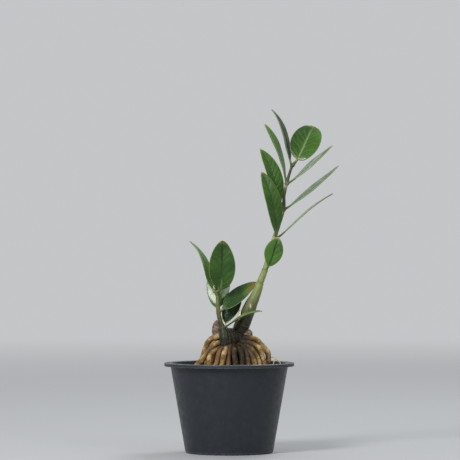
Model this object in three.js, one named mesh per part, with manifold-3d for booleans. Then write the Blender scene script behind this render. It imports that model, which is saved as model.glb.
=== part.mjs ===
// A potted ZZ plant: a nursery pot, potting mix, a rhizome held up on arching roots, and two leafy shoots.
// Millimetres, +Z up. The origin is the centre of the pot's underside, and the plant is seen along +Y.

import * as THREE from 'three';
import { mergeVertices } from 'three/addons/utils/BufferGeometryUtils.js';
import Module from 'manifold-3d';

const wasm = await Module();
wasm.setup();

// Driving dimensions of the pot
const RIM_RADIUS = 65;
const MOUTH_RADIUS = 57.5;
const POT_HEIGHT = 90;
const BASE_RADIUS = 44;
const BASE_CHAMFER = 1.4;
const WALL = 1.7;
const FLOOR_TOP = 3;
const FLOOR_CHAMFER = 1.6;
const LIP_DEPTH = 3.4;
const LIP_THICK = 1.5;
const EDGE = 0.6;
const POT_SEGMENTS = 48;

// The rim's top: two beads with a shallow groove between them, each bead's groove side sloping
const GROOVE_DEPTH = 0.5;
const RIM_BEAD = 2;
const MOUTH_BEAD = 1.7;
const BEAD_SLOPE = 0.7;

// The underside: a flat centre and a foot ring, with a shallow ring-shaped recess between them
const FOOT_CENTRE = 14;
const FOOT_RING = 36;
const FOOT_SLOPE = 1;
const FOOT_RECESS = 1.2;

const DRAIN_HOLES = 8;
const DRAIN_RADIUS = 3;
const DRAIN_CIRCLE = 25;
const DRAIN_SIDES = 12;

// Driving dimensions of the potting mix
const SOIL_TOP = 81;
const SOIL_MOUND = 2.2;
const SOIL_RELIEF = 0.8;
const SOIL_EDGE = 3.4;
const SOIL_RING_SHARES = [1, 0.8, 0.58, 0.36, 0.12];
const SOIL_FLOOR_RADIUS = 4;
const ROOT_DEPTH = 10;

// Clearance kept between neighbouring pieces
const GAP = 0.3;

// Driving dimensions of the roots and stems
const ROOT_RADIUS = 3.1;
const ROOT_FLARE = 1.15;
const ROOT_LANDING = 6;
const ROOT_SIDES = 6;
const ROOT_HOLE_SIDES = 8;
const ROOTLET_RADIUS = 0.7;
const ROOTLET_SIDES = 4;
const LUMP_SIDES = 14;
const LUMP_ROWS = 9;
const STEM_SIDES = 10;
const TALL_STEM_STEPS = 28;
const SHORT_STEM_STEPS = 16;
const STUB_RADIUS = 1.35;
const STUB_SIDES = 7;

// Driving dimensions of the leaflet blades
const BLADE_THICK = 1.1;
const MARGIN_THICK = 0.7;
const BLADE_ROWS = 12;
const BLADE_COLUMNS = 6;

// A blade's stalk: its share of the length, how far it blends into the blade, and its radius
const STALK_SHARE = 0.06;
const STALK_BLEND = 2.4 * STALK_SHARE;
const STALK_RADIUS = 0.9 * STUB_RADIUS;

// The bend of a blade's middle line: how far it leaves straight, and where and how much it arches
const LEAVE_SHARE = 0.16;
const ARCH_SHARE = 0.62;
const ARCH_PULL = 1.6;

// The ripple of a blade's margins: its turns along the blade and its skew across it
const RIPPLE_TURNS = 7.5;
const RIPPLE_SKEW = 2;

const LEAF_GREEN = 0x3f7a2c;
const STEM_GREEN = 0x9fae6c;
const ROOT_TAN = 0xc0a06e;
const POT_GREY = 0x24282a;
const SOIL_BROWN = 0x3a2a1e;
const SCALE_STRAW = 0xe0d3ae;

const vec = (p) => new THREE.Vector3(p[0], p[1], p[2]);

function matte(color, roughness) {
  return new THREE.MeshStandardMaterial({ color, roughness, metalness: 0 });
}

function named(name, geometry, material) {
  const mesh = new THREE.Mesh(geometry, material);
  mesh.name = name;
  return mesh;
}

// A three.js geometry as a solid, for joining and cutting
function toSolid(geometry) {
  const bare = geometry.clone();
  bare.deleteAttribute('normal');
  bare.deleteAttribute('uv');
  const welded = mergeVertices(bare, 1e-4);
  const vertProperties = new Float32Array(welded.attributes.position.array);
  const triVerts = new Uint32Array(welded.index.array);
  return new wasm.Manifold(new wasm.Mesh({ numProp: 3, vertProperties, triVerts }));
}

function fromSolid(solid) {
  const mesh = solid.getMesh();
  const geometry = new THREE.BufferGeometry();
  geometry.setAttribute('position', new THREE.BufferAttribute(mesh.vertProperties, 3));
  geometry.setIndex(new THREE.BufferAttribute(mesh.triVerts, 1));
  return geometry;
}

// Closes a stack of equal rings of points into one body, with a flat cap at each end
function skinRings(rings) {
  const size = rings[0].length;
  const positions = rings.flat().flatMap((p) => [p.x, p.y, p.z]);
  const index = [];
  for (let r = 0; r + 1 < rings.length; r++) {
    for (let k = 0; k < size; k++) {
      const a = r * size + k;
      const b = r * size + ((k + 1) % size);
      index.push(a, b, b + size, a, b + size, a + size);
    }
  }
  const last = (rings.length - 1) * size;
  for (let k = 1; k + 1 < size; k++) {
    index.push(0, k + 1, k);
    index.push(last, last + k, last + k + 1);
  }
  const geometry = new THREE.BufferGeometry();
  geometry.setAttribute('position', new THREE.Float32BufferAttribute(positions, 3));
  geometry.setIndex(index);
  return geometry;
}

// A round rod through the points, each with its own radius
function rod(points, radii, sides) {
  const tangents = points.map((p, i) => {
    const before = points[Math.max(0, i - 1)];
    const after = points[Math.min(points.length - 1, i + 1)];
    return after.clone().sub(before).normalize();
  });
  let across = new THREE.Vector3(0, -1, 0);
  const rings = points.map((p, i) => {
    const along = tangents[i];
    across = across.clone().addScaledVector(along, -across.dot(along)).normalize();
    const beside = along.clone().cross(across);
    return Array.from({ length: sides }, (_, k) => {
      const turn = (2 * Math.PI * k) / sides;
      return p.clone()
        .addScaledVector(across, radii[i] * Math.cos(turn))
        .addScaledVector(beside, radii[i] * Math.sin(turn));
    });
  });
  return skinRings(rings);
}

// Stems

// A stem is a smooth line through [x, y, z, radius], from its foot in the rhizome to its tip
function stemLine(stations) {
  const middle = new THREE.CatmullRomCurve3(stations.map(vec), false, 'centripetal');
  const radiusAt = (u) => {
    const place = u * (stations.length - 1);
    const low = Math.min(stations.length - 2, Math.floor(place));
    return THREE.MathUtils.lerp(stations[low][3], stations[low + 1][3], place - low);
  };
  const atHeight = (z) => {
    let low = 0;
    let high = 1;
    for (let i = 0; i < 30; i++) {
      const half = (low + high) / 2;
      if (middle.getPoint(half).z < z) low = half;
      else high = half;
    }
    return low;
  };
  return { middle, radiusAt, atHeight };
}

const TALL_STEM = stemLine([
  [7.5, 3, 114, 6.4],
  [10.6, 2.6, 121, 7.2],
  [15.2, 1.8, 132, 7.1],
  [19.4, 1, 142.6, 6.7],
  [22, 0.6, 148.6, 6.2],
  [25, 0.3, 154.6, 5.35],
  [28.4, 0, 162.6, 4.35],
  [31, 0, 170.6, 3.6],
  [34.2, -0.4, 178.6, 3.2],
  [36.6, -0.8, 185.6, 2.85],
  [40.6, -1, 200, 2.35],
  [45.2, -1, 215, 2.3],
  [50.4, -0.4, 231, 2],
  [54.2, 0, 244.6, 2],
  [54.9, 0.6, 257, 1.5],
  [57.8, 1, 270.6, 1.7],
  [60.9, 1.6, 281, 1.35],
  [64.2, 2, 289.8, 1.5],
]);

const SHORT_STEM = stemLine([
  [-3.4, -7.6, 109, 4.9],
  [-4.4, -7.2, 115, 5.7],
  [-5.3, -6.6, 121.5, 4.8],
  [-7.2, -6, 127.5, 3.2],
  [-9.3, -5.4, 133, 2.3],
  [-10.5, -5, 138, 2.1],
  [-11.1, -4.6, 143, 2.15],
  [-11.7, -4, 153, 1.75],
  [-12.5, -3.4, 162.6, 1.6],
]);

// The place where a leaflet leaves its stem: a short stub from the stem's middle, with a flat end
function seatOf(stem, leaflet) {
  const u = stem.atHeight(leaflet.at);
  const heart = stem.middle.getPoint(u);
  const along = stem.middle.getTangent(u);
  const out = vec(leaflet.out).normalize();
  const slope = Math.abs(out.dot(along));
  const lift = Math.sqrt(1 - slope * slope);
  const reach = (stem.radiusAt(u) + STUB_RADIUS * slope) / lift + GAP;
  const end = heart.clone().addScaledVector(out, reach);
  return { heart, out, end, foot: end.clone().addScaledVector(out, GAP) };
}

function stemSolid(stem, leaflets, steps) {
  const points = [];
  const radii = [];
  for (let i = 0; i <= steps; i++) {
    points.push(stem.middle.getPoint(i / steps));
    radii.push(stem.radiusAt(i / steps));
  }
  let solid = toSolid(rod(points, radii, STEM_SIDES));
  for (const leaflet of leaflets) {
    const seat = seatOf(stem, leaflet);
    const middle = seat.heart.clone().lerp(seat.end, 0.5);
    const stub = rod([seat.heart, middle, seat.end], [STUB_RADIUS, STUB_RADIUS, STUB_RADIUS], STUB_SIDES);
    solid = solid.add(toSolid(stub));
  }
  return solid;
}

// The lowest stretch of a stem, fatter and longer, which cuts its place into the rhizome. Its facets don't
// meet the stem's, so it is nearly two gaps fatter for one gap of room.
const SOCKET_ROOM = 1.9 * GAP;
const TALL_SOCKET = { share: 0.16, steps: 6 };
const SHORT_SOCKET = { share: 0.4, steps: 8 };

function stemSocket(stem, { share, steps }) {
  const points = [];
  const radii = [];
  for (let i = 0; i <= steps; i++) {
    points.push(stem.middle.getPoint((share * i) / steps));
    radii.push(stem.radiusAt((share * i) / steps) + SOCKET_ROOM);
  }
  const down = points[0].clone().sub(points[1]).normalize();
  points.unshift(points[0].clone().addScaledVector(down, GAP));
  radii.unshift(radii[0]);
  return toSolid(rod(points, radii, STEM_SIDES));
}

// Leaflets

// Each leaflet: where it leaves the stem (height and direction), its tip, its width, the way its upper
// side faces, and its form. arch lifts the middle towards the face, fold raises both margins or, below 0,
// drops them, roll turns the blade from foot to tip, widest is the place of the greatest width, full rounds
// the outline, wave ripples the margins.
const TALL_LEAFLETS = {
  tall_leaflet_lower_front: {
    at: 183.6, out: [0.5, -0.8, 0.35], tip: [49.2, -9.5, 215.6], width: 18.5,
    face: [0.05, -1, 0.25], arch: 0.03, fold: 0.2, roll: 0, widest: 0.5, full: 0.72, wave: 0.02,
  },
  tall_leaflet_left_front: {
    at: 216.4, out: [0.15, -0.85, 0.5], tip: [31.7, -19, 280.6], width: 20.5,
    face: [0.62, -0.76, 0.1], arch: 0.11, fold: 0.2, roll: -24, widest: 0.43, full: 0.66, wave: 0.03,
  },
  tall_leaflet_left_middle: {
    at: 243, out: [-0.3, -0.4, 0.8], tip: [30.4, -3, 303.9], width: 20,
    face: [0.62, -0.72, 0.2], arch: 0.11, fold: 0.22, roll: -16, widest: 0.44, full: 0.8, wave: 0.03,
  },
  tall_leaflet_left_back: {
    at: 269, out: [-0.12, 0.6, 0.78], tip: [35, 9, 329.2], width: 19,
    face: [0.86, -0.32, 0.34], arch: 0.06, fold: 0.16, roll: -14, widest: 0.5, full: 0.72, wave: 0.03,
  },
  tall_leaflet_top_left: {
    at: 286.6, out: [-0.3, 0.6, 0.7], tip: [42, 15, 344.5], width: 18,
    face: [0.9, -0.32, 0.34], arch: 0.09, fold: 0.14, roll: 10, widest: 0.48, full: 0.72, wave: 0.03,
  },
  tall_leaflet_top_right: {
    at: 287, out: [0.62, -0.4, 0.7], tip: [85, 24, 326.8], width: 29.6,
    face: [-0.04, -0.88, 0.47], arch: 0.07, fold: 0.14, roll: 0, widest: 0.48, full: 0.42, wave: 0.03,
  },
  tall_leaflet_right_upper: {
    at: 268.6, out: [0.82, -0.3, 0.5], tip: [102.9, -8, 306.9], width: 19,
    face: [-0.6, -0.25, 0.75], arch: -0.02, fold: 0.12, roll: 0, widest: 0.5, full: 0.72, wave: 0.03,
  },
  tall_leaflet_right_middle: {
    at: 242.2, out: [0.78, -0.35, 0.52], tip: [108.9, -10, 286.8], width: 20,
    face: [-0.6, -0.21, 0.75], arch: -0.03, fold: 0.1, roll: 0, widest: 0.5, full: 0.72, wave: 0.03,
  },
  tall_leaflet_right_lower: {
    at: 212.4, out: [0.8, 0.2, 0.55], tip: [103.8, 6, 259.1], width: 19,
    face: [-0.62, -0.06, 0.78], arch: 0.045, fold: 0.04, roll: 0, widest: 0.5, full: 0.72, wave: 0.01,
  },
};

const SHORT_LEAFLETS = {
  short_leaflet_front: {
    at: 160.6, out: [0.6, -0.7, 0.42], tip: [-6.5, -13, 212], width: 26.5,
    face: [0.08, -1, 0.1], arch: 0.03, fold: 0.24, roll: 0, widest: 0.45, full: 0.57, wave: 0.03,
  },
  short_leaflet_upper_left: {
    at: 158.4, out: [-0.62, 0.5, 0.6], tip: [-39.6, 2, 211.6], width: 19,
    face: [0.84, -0.36, 0.42], arch: 0.11, fold: 0.16, roll: 40, widest: 0.5, full: 0.72, wave: 0.03,
  },
  short_leaflet_back: {
    at: 141, out: [-0.14, 0.9, 0.4], tip: [-9.5, 15, 198], width: 23.5,
    face: [0, -0.94, 0.34], arch: -0.02, fold: -0.22, roll: 0, widest: 0.46, full: 0.68, wave: 0.03,
  },
  short_leaflet_right: {
    at: 140.2, out: [0.82, -0.22, 0.55], tip: [27.6, 13.3, 170.2], width: 19,
    face: [-0.4, -0.76, 0.5], arch: 0.06, fold: 0.16, roll: 0, widest: 0.41, full: 0.62, wave: 0.03,
  },
  short_leaflet_lower_back: {
    at: 124, out: [0.2, 0.82, 0.55], tip: [10.4, 13, 162], width: 18.5,
    face: [-0.3, -0.9, 0.36], arch: 0.02, fold: 0.22, roll: 0, widest: 0.5, full: 0.7, wave: 0.02,
  },
  short_leaflet_lower_right: {
    at: 124.6, out: [0.6, -0.72, 0.4], tip: [32.8, -20, 142], width: 16.5,
    face: [-0.38, -0.06, 0.9], arch: 0.09, fold: 0.14, roll: 0, widest: 0.48, full: 0.72, wave: 0.02,
  },
};

// The line that a leaflet's middle follows, from its seat to its tip
function leafletLine(stem, leaflet) {
  const seat = seatOf(stem, leaflet);
  const tip = vec(leaflet.tip);
  const span = tip.distanceTo(seat.foot);
  const along = tip.clone().sub(seat.foot).normalize();
  const face = vec(leaflet.face);
  face.addScaledVector(along, -face.dot(along)).normalize();
  const leave = seat.foot.clone().addScaledVector(seat.out, LEAVE_SHARE * span);
  const lift = ARCH_PULL * leaflet.arch * span;
  const near = seat.foot.clone().lerp(tip, ARCH_SHARE).addScaledVector(face, lift);
  return { line: new THREE.CubicBezierCurve3(seat.foot, leave, near, tip), face };
}

// Half the blade's width at a share of its length, from the round stalk to the pointed tip
function halfWidth(leaflet, share) {
  const blade = Math.max(0, (share - STALK_SHARE) / (1 - STALK_SHARE));
  const power = Math.log(0.5) / Math.log(leaflet.widest);
  const bulge = Math.max(0, Math.sin(Math.PI * Math.pow(blade, power)));
  const least = THREE.MathUtils.lerp(STALK_RADIUS, MARGIN_THICK / 2, Math.min(1, share * 3));
  return Math.max(least, (leaflet.width / 2) * Math.pow(bulge, leaflet.full));
}

function leafletGeometry(stem, leaflet) {
  const { line, face } = leafletLine(stem, leaflet);
  const rings = [];
  for (let r = 0; r <= BLADE_ROWS; r++) {
    const share = r / BLADE_ROWS;
    const middle = line.getPointAt(share);
    const along = line.getTangentAt(share);
    const up = face.clone().addScaledVector(along, -face.dot(along)).normalize();
    const turn = THREE.MathUtils.degToRad(leaflet.roll) * (share - 0.5);
    up.applyAxisAngle(along, turn);
    const side = along.clone().cross(up);
    const half = halfWidth(leaflet, share);
    const stalk = Math.max(0, 1 - share / STALK_BLEND);
    const heart = THREE.MathUtils.lerp(BLADE_THICK, 2 * STALK_RADIUS, stalk);
    const upper = [];
    const lower = [];
    for (let c = 0; c <= BLADE_COLUMNS; c++) {
      const v = (2 * c) / BLADE_COLUMNS - 1;
      const ripple = leaflet.wave * Math.sin(RIPPLE_TURNS * share + RIPPLE_SKEW * v) * v * v;
      const rise = half * (leaflet.fold * Math.abs(v) * (1 - stalk) + ripple);
      const thick = THREE.MathUtils.lerp(heart, MARGIN_THICK, v * v);
      const onBlade = middle.clone().addScaledVector(side, half * v).addScaledVector(up, rise);
      upper.push(onBlade.clone().addScaledVector(up, thick / 2));
      lower.unshift(onBlade.clone().addScaledVector(up, -thick / 2));
    }
    rings.push([...upper, ...lower]);
  }
  return bladeFromRings(rings);
}

// Closes the rings of a blade, with the same diagonals on its upper and its lower side
function bladeFromRings(rings) {
  const size = rings[0].length;
  const columns = size / 2;
  const positions = rings.flat().flatMap((p) => [p.x, p.y, p.z]);
  const index = [];
  const quad = (a, b, c, d, flip) => {
    if (flip) index.push(a, b, d, b, c, d);
    else index.push(a, b, c, a, c, d);
  };
  for (let r = 0; r + 1 < rings.length; r++) {
    for (let k = 0; k < size; k++) {
      const a = r * size + k;
      const b = r * size + ((k + 1) % size);
      quad(a, b, b + size, a + size, k >= columns);
    }
  }
  const last = (rings.length - 1) * size;
  for (let c = 0; c + 1 < columns; c++) {
    const across = size - 1 - c;
    quad(c, across, across - 1, c + 1, false);
    quad(last + c, last + c + 1, last + across - 1, last + across, false);
  }
  const geometry = new THREE.BufferGeometry();
  geometry.setAttribute('position', new THREE.Float32BufferAttribute(positions, 3));
  geometry.setIndex(index);
  return geometry;
}

// Rhizome and roots

// Swollen lumps of the rhizome: middle [x, y, z] and half sizes [x, y, z]
const RHIZOME_LUMPS = [
  { middle: [2, 2, 114], half: [17, 13, 10.5] },
  { middle: [-12.2, 1.5, 122], half: [5, 6, 10.8] },
  { middle: [19, 0, 117.2], half: [4.6, 6, 6.4] },
  { middle: [5, 10, 115], half: [10, 7, 8.5] },
  { middle: [3, 1, 99], half: [14, 12, 13] },
  { middle: [-3.8, -7.6, 108.4], half: [6.6, 5.8, 4.8] },
];

// Each root: where it leaves the rhizome, the points it arches over, and where it enters the soil
const ROOTS = [
  {
    from: [-5, -3, 114.5],
    via: [[-11, -5.5, 115.6], [-16, -5, 114.6], [-20.5, -3.5, 111.2], [-24, -1, 104.6]],
    enter: [-28, 2],
  },
  {
    from: [-6, -4, 110],
    via: [[-12, -8, 108.8], [-16.5, -9.5, 105.6], [-21, -10, 101.2], [-25.4, -10, 95.5]],
    enter: [-32.4, -9],
  },
  {
    from: [-5, -5, 107],
    via: [[-10.5, -11, 104.2], [-15, -12.5, 101.5], [-18.4, -13.5, 97]],
    enter: [-20.2, -14],
  },
  { from: [-3, -5, 106], via: [[-9, -14, 101.5]], enter: [-13.6, -18.6] },
  { from: [0, -6, 107], via: [[-3.4, -16, 102.5]], enter: [-8, -22.6] },
  { from: [3, -5, 108], via: [[-0.5, -13, 104]], enter: [-0.8, -21.4] },
  { from: [5, -5, 108], via: [[5.4, -14, 103.6]], enter: [6.2, -22.4] },
  { from: [7, -5, 107], via: [[11.2, -13, 103.2]], enter: [13, -21] },
  { from: [9, -4, 108], via: [[15.6, -11, 104.6]], enter: [19.4, -19] },
  { from: [8, -5, 108.5], via: [[16.6, -10.5, 105], [22.4, -14.5, 97.6]], enter: [25, -16.6] },
  { from: [9, -4, 110.5], via: [[17, -8.6, 107.8], [25, -12, 101.4]], enter: [29.6, -13] },
  {
    from: [10, -4, 112.5],
    via: [[15.4, -7.6, 111], [21.4, -9, 109.4], [27, -9.2, 106], [31.6, -8.6, 101.2]],
    enter: [35, -7.2],
  },
  {
    from: [10, -2, 114],
    via: [
      [15, -4.8, 115.4],
      [20.5, -5.4, 114.8],
      [26.5, -4.4, 112.4],
      [31.8, -2.5, 108.4],
      [36.6, 0, 103.2],
      [38.6, 1, 99.4],
    ],
    enter: [37.8, 1],
  },
  { from: [11, 5, 113], via: [[21, 10, 110], [29, 13, 102]], enter: [32.6, 14] },
  { from: [10, 7, 113], via: [[18, 17, 110]], enter: [24, 25] },
  { from: [6, 9, 112], via: [[10, 22, 107]], enter: [13, 31] },
  { from: [2, 9, 111], via: [[-1, 20, 104]], enter: [-2, 26] },
  { from: [-3, 9, 113], via: [[-11, 20, 109]], enter: [-16, 30] },
  { from: [-6, 6, 113], via: [[-15, 11, 109], [-21, 14, 101.5]], enter: [-24.6, 15.4] },
];

// Wiry side roots, thinner than the rest
const ROOTLETS = [
  [[38.4, 1, 95], [43.6, 1, 95.6], [46.6, 0.4, 94], [51.2, 0, 89], [53, 0, 84.6]],
  [[45.6, 0.6, 94.8], [45.4, -0.6, 92.4], [44.4, -1.2, 89.6], [44, -1.4, 84.6]],
];

function rootSolid(root) {
  const landing = new THREE.Vector3(root.enter[0], root.enter[1], SOIL_TOP + ROOT_LANDING);
  const stations = [vec(root.from), ...root.via.map(vec), landing];
  const arch = new THREE.CatmullRomCurve3(stations, false, 'centripetal');
  const steps = 3 + root.via.length;
  const points = arch.getPoints(steps);
  points.push(new THREE.Vector3(root.enter[0], root.enter[1], SOIL_TOP - ROOT_DEPTH));
  const radii = points.map((_, i) => ROOT_RADIUS * (i === 0 ? ROOT_FLARE : 1));
  return toSolid(rod(points, radii, ROOT_SIDES));
}

function rhizomeSolid() {
  let solid = null;
  for (const lump of RHIZOME_LUMPS) {
    const ball = new THREE.SphereGeometry(1, LUMP_SIDES, LUMP_ROWS).scale(...lump.half);
    const piece = toSolid(ball.translate(...lump.middle));
    solid = solid ? solid.add(piece) : piece;
  }
  for (const root of ROOTS) solid = solid.add(rootSolid(root));
  for (const rootlet of ROOTLETS) {
    const points = new THREE.CatmullRomCurve3(rootlet.map(vec)).getPoints(5);
    solid = solid.add(toSolid(rod(points, points.map(() => ROOTLET_RADIUS), ROOTLET_SIDES)));
  }
  solid = solid.subtract(stemSocket(TALL_STEM, TALL_SOCKET));
  return solid.subtract(stemSocket(SHORT_STEM, SHORT_SOCKET));
}

// Pot and soil

// The inside of the wall, from the top of the floor's chamfer to just under the mouth
const WALL_LOW = new THREE.Vector2(BASE_RADIUS - WALL + 0.2, FLOOR_TOP + FLOOR_CHAMFER);
const WALL_HIGH = new THREE.Vector2(MOUTH_RADIUS - 0.1, POT_HEIGHT - 2);

function innerRadius(z) {
  return THREE.MathUtils.mapLinear(z, WALL_LOW.y, WALL_HIGH.y, WALL_LOW.x, WALL_HIGH.x);
}

function potSolid() {
  const top = POT_HEIGHT;
  const under = POT_HEIGHT - WALL;
  const groove = POT_HEIGHT - GROOVE_DEPTH;
  const lip = POT_HEIGHT - LIP_DEPTH;
  const profile = [
    [0, 0], [FOOT_CENTRE, 0], [FOOT_CENTRE + FOOT_SLOPE, FOOT_RECESS],
    [FOOT_RING - FOOT_SLOPE, FOOT_RECESS], [FOOT_RING, 0],
    [BASE_RADIUS - BASE_CHAMFER, 0], [BASE_RADIUS, BASE_CHAMFER],
    [MOUTH_RADIUS + LIP_THICK, under], [RIM_RADIUS - LIP_THICK, under], [RIM_RADIUS - LIP_THICK, lip],
    [RIM_RADIUS - EDGE, lip], [RIM_RADIUS, lip + EDGE], [RIM_RADIUS, top - EDGE], [RIM_RADIUS - EDGE, top],
    [RIM_RADIUS - RIM_BEAD, top], [RIM_RADIUS - RIM_BEAD - BEAD_SLOPE, groove],
    [MOUTH_RADIUS + MOUTH_BEAD + BEAD_SLOPE, groove], [MOUTH_RADIUS + MOUTH_BEAD, top],
    [MOUTH_RADIUS + EDGE, top], [MOUTH_RADIUS, top - EDGE], [WALL_HIGH.x, WALL_HIGH.y],
    [WALL_LOW.x, WALL_LOW.y], [WALL_LOW.x - FLOOR_CHAMFER, FLOOR_TOP], [0, FLOOR_TOP],
  ].map((p) => new THREE.Vector2(p[0], p[1]));
  const turned = new THREE.LatheGeometry(profile, POT_SEGMENTS).rotateX(Math.PI / 2);
  let solid = toSolid(turned);
  for (let i = 0; i < DRAIN_HOLES; i++) {
    const turn = (2 * Math.PI * (i + 0.5)) / DRAIN_HOLES;
    const drill = new THREE.CylinderGeometry(DRAIN_RADIUS, DRAIN_RADIUS, 3 * FLOOR_TOP, DRAIN_SIDES);
    drill.rotateX(Math.PI / 2);
    drill.translate(DRAIN_CIRCLE * Math.cos(turn), DRAIN_CIRCLE * Math.sin(turn), FLOOR_TOP / 2);
    solid = solid.subtract(toSolid(drill));
  }
  return solid;
}

// How quickly the potting mix's hollows follow each other across it, along it and on the slant
const HOLLOWS_ACROSS = 0.21;
const HOLLOWS_ALONG = 0.17;
const HOLLOWS_SLANT = 0.31;

// Height of the potting mix: a low mound with small hollows
function soilHeight(x, y) {
  const out = Math.hypot(x, y) / MOUTH_RADIUS;
  const mound = SOIL_MOUND * (1 - out * out) - SOIL_MOUND / 2;
  const square = Math.sin(HOLLOWS_ACROSS * x + 1.1) * Math.cos(HOLLOWS_ALONG * y);
  const hollows = square + 0.7 * Math.sin(HOLLOWS_SLANT * (x + y));
  return SOIL_TOP + mound + SOIL_RELIEF * hollows;
}

function soilSolid() {
  const rings = [];
  const ringAt = (radius, height) => Array.from({ length: POT_SEGMENTS }, (_, k) => {
    const turn = (2 * Math.PI * k) / POT_SEGMENTS;
    const x = radius * Math.sin(turn);
    const y = -radius * Math.cos(turn);
    return new THREE.Vector3(x, y, height === undefined ? soilHeight(x, y) : height);
  });
  const room = 1.6 * GAP;
  const bottom = FLOOR_TOP + GAP;
  const brim = innerRadius(SOIL_TOP) - room - EDGE;
  rings.push(ringAt(SOIL_FLOOR_RADIUS, bottom));
  rings.push(ringAt(WALL_LOW.x - FLOOR_CHAMFER - room, bottom));
  rings.push(ringAt(WALL_LOW.x - room, WALL_LOW.y + GAP));
  rings.push(ringAt(brim, SOIL_TOP - SOIL_EDGE));
  for (const share of SOIL_RING_SHARES) rings.push(ringAt(brim * share));
  let solid = toSolid(skinRings(rings));
  const hole = (ROOT_RADIUS + 1.3 * GAP) / Math.cos(Math.PI / ROOT_HOLE_SIDES);
  const floor = SOIL_TOP - ROOT_DEPTH - GAP;
  const depth = ROOT_DEPTH + 4 * SOIL_MOUND;
  for (const root of ROOTS) {
    const drill = new THREE.CylinderGeometry(hole, hole, depth, ROOT_HOLE_SIDES).rotateX(Math.PI / 2);
    drill.translate(root.enter[0], root.enter[1], floor + depth / 2);
    solid = solid.subtract(toSolid(drill));
  }
  return solid;
}

// The dry scale leaf that still clasps the foot of the tall stem: where it starts and ends, its rows and
// columns, the side of the stem that it is on, how wide its columns spread, and how far it stands off
const SCALE = {
  foot: 125.5, top: 142, rows: 6, columns: 4, facing: Math.PI + 0.3,
  spreadFoot: 0.26, spreadTop: 0.07, clear: 0.9, flare: 1.1, thick: 0.8,
};

function scaleLeafGeometry() {
  const rings = [];
  for (let r = 0; r <= SCALE.rows; r++) {
    const share = r / SCALE.rows;
    const z = THREE.MathUtils.lerp(SCALE.foot, SCALE.top, share);
    const u = TALL_STEM.atHeight(z);
    const heart = TALL_STEM.middle.getPoint(u);
    const away = TALL_STEM.radiusAt(u) + SCALE.clear + SCALE.flare * share;
    const spread = THREE.MathUtils.lerp(SCALE.spreadFoot, SCALE.spreadTop, share);
    const inner = [];
    const outer = [];
    for (let c = 0; c <= SCALE.columns; c++) {
      const turn = SCALE.facing + spread * (c - SCALE.columns / 2);
      const ray = new THREE.Vector3(Math.cos(turn), Math.sin(turn), 0);
      outer.push(heart.clone().addScaledVector(ray, away + SCALE.thick));
      inner.unshift(heart.clone().addScaledVector(ray, away));
    }
    rings.push([...outer, ...inner]);
  }
  return bladeFromRings(rings);
}

// The whole plant

const plant = new THREE.Group();

plant.add(named('pot', fromSolid(potSolid()), matte(POT_GREY, 0.5)));
plant.add(named('soil', fromSolid(soilSolid()), matte(SOIL_BROWN, 0.95)));
plant.add(named('rhizome_with_roots', fromSolid(rhizomeSolid()), matte(ROOT_TAN, 0.8)));
plant.add(named('scale_leaf', scaleLeafGeometry(), matte(SCALE_STRAW, 0.8)));

const tallSolid = stemSolid(TALL_STEM, Object.values(TALL_LEAFLETS), TALL_STEM_STEPS);
const shortSolid = stemSolid(SHORT_STEM, Object.values(SHORT_LEAFLETS), SHORT_STEM_STEPS);
plant.add(named('tall_stem', fromSolid(tallSolid), matte(STEM_GREEN, 0.5)));
plant.add(named('short_stem', fromSolid(shortSolid), matte(STEM_GREEN, 0.5)));

for (const [name, leaflet] of Object.entries(TALL_LEAFLETS)) {
  plant.add(named(name, leafletGeometry(TALL_STEM, leaflet), matte(LEAF_GREEN, 0.35)));
}
for (const [name, leaflet] of Object.entries(SHORT_LEAFLETS)) {
  plant.add(named(name, leafletGeometry(SHORT_STEM, leaflet), matte(LEAF_GREEN, 0.35)));
}

export default plant;
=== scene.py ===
"""Dresses the potted ZZ plant: fine leaflets, stems, roots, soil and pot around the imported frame.

Shapes are worked out in millimetres, in the frame's own axes, and written to the scene in metres.
"""

import math

import bmesh
import bpy
import numpy as np
from mathutils import Euler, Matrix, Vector, noise


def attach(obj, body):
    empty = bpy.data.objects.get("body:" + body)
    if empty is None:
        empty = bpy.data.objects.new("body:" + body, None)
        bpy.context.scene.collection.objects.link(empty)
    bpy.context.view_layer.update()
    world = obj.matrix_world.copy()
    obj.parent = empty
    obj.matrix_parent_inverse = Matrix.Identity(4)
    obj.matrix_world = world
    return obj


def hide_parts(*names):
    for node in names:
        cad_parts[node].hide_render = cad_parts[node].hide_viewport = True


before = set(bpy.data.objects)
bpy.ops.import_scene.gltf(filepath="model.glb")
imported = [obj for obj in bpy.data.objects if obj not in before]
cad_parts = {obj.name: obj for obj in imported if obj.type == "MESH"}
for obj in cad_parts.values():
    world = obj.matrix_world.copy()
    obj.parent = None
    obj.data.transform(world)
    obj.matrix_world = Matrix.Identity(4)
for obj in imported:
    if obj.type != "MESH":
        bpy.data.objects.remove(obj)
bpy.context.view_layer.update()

MM = 0.001
SEED = 20

# Pot
RIM_RADIUS = 65
MOUTH_RADIUS = 57.5
POT_HEIGHT = 90
BASE_RADIUS = 44
WALL = 1.7
FLOOR_TOP = 3
FOOT_RECESS = 1.2
LIP_DEPTH = 3.4
GROOVE_DEPTH = 0.5
DRAIN_HOLES = 8
DRAIN_RADIUS = 3
DRAIN_CIRCLE = 25
INNER_BASE = BASE_RADIUS - WALL + 0.2
GROOVE_OUTER = RIM_RADIUS - 2.1
GROOVE_INNER = MOUTH_RADIUS + 1.8
POT_SEGMENTS = 192

# Potting mix
SOIL_TOP = 81
SOIL_MOUND = 2.2
SOIL_RELIEF = 0.8
SOIL_CRUMB = 0.9
SOIL_SIDES = 380
SOIL_RINGS = 130

# The clearance between pieces
GAP = 0.3

# Stems: mesh, ridges and the least radius that has them
STEM_SAMPLES = 700
STEM_SIDES = 40
STEM_RIDGES = 11
RIDGES_ABOVE = 1.9

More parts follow.
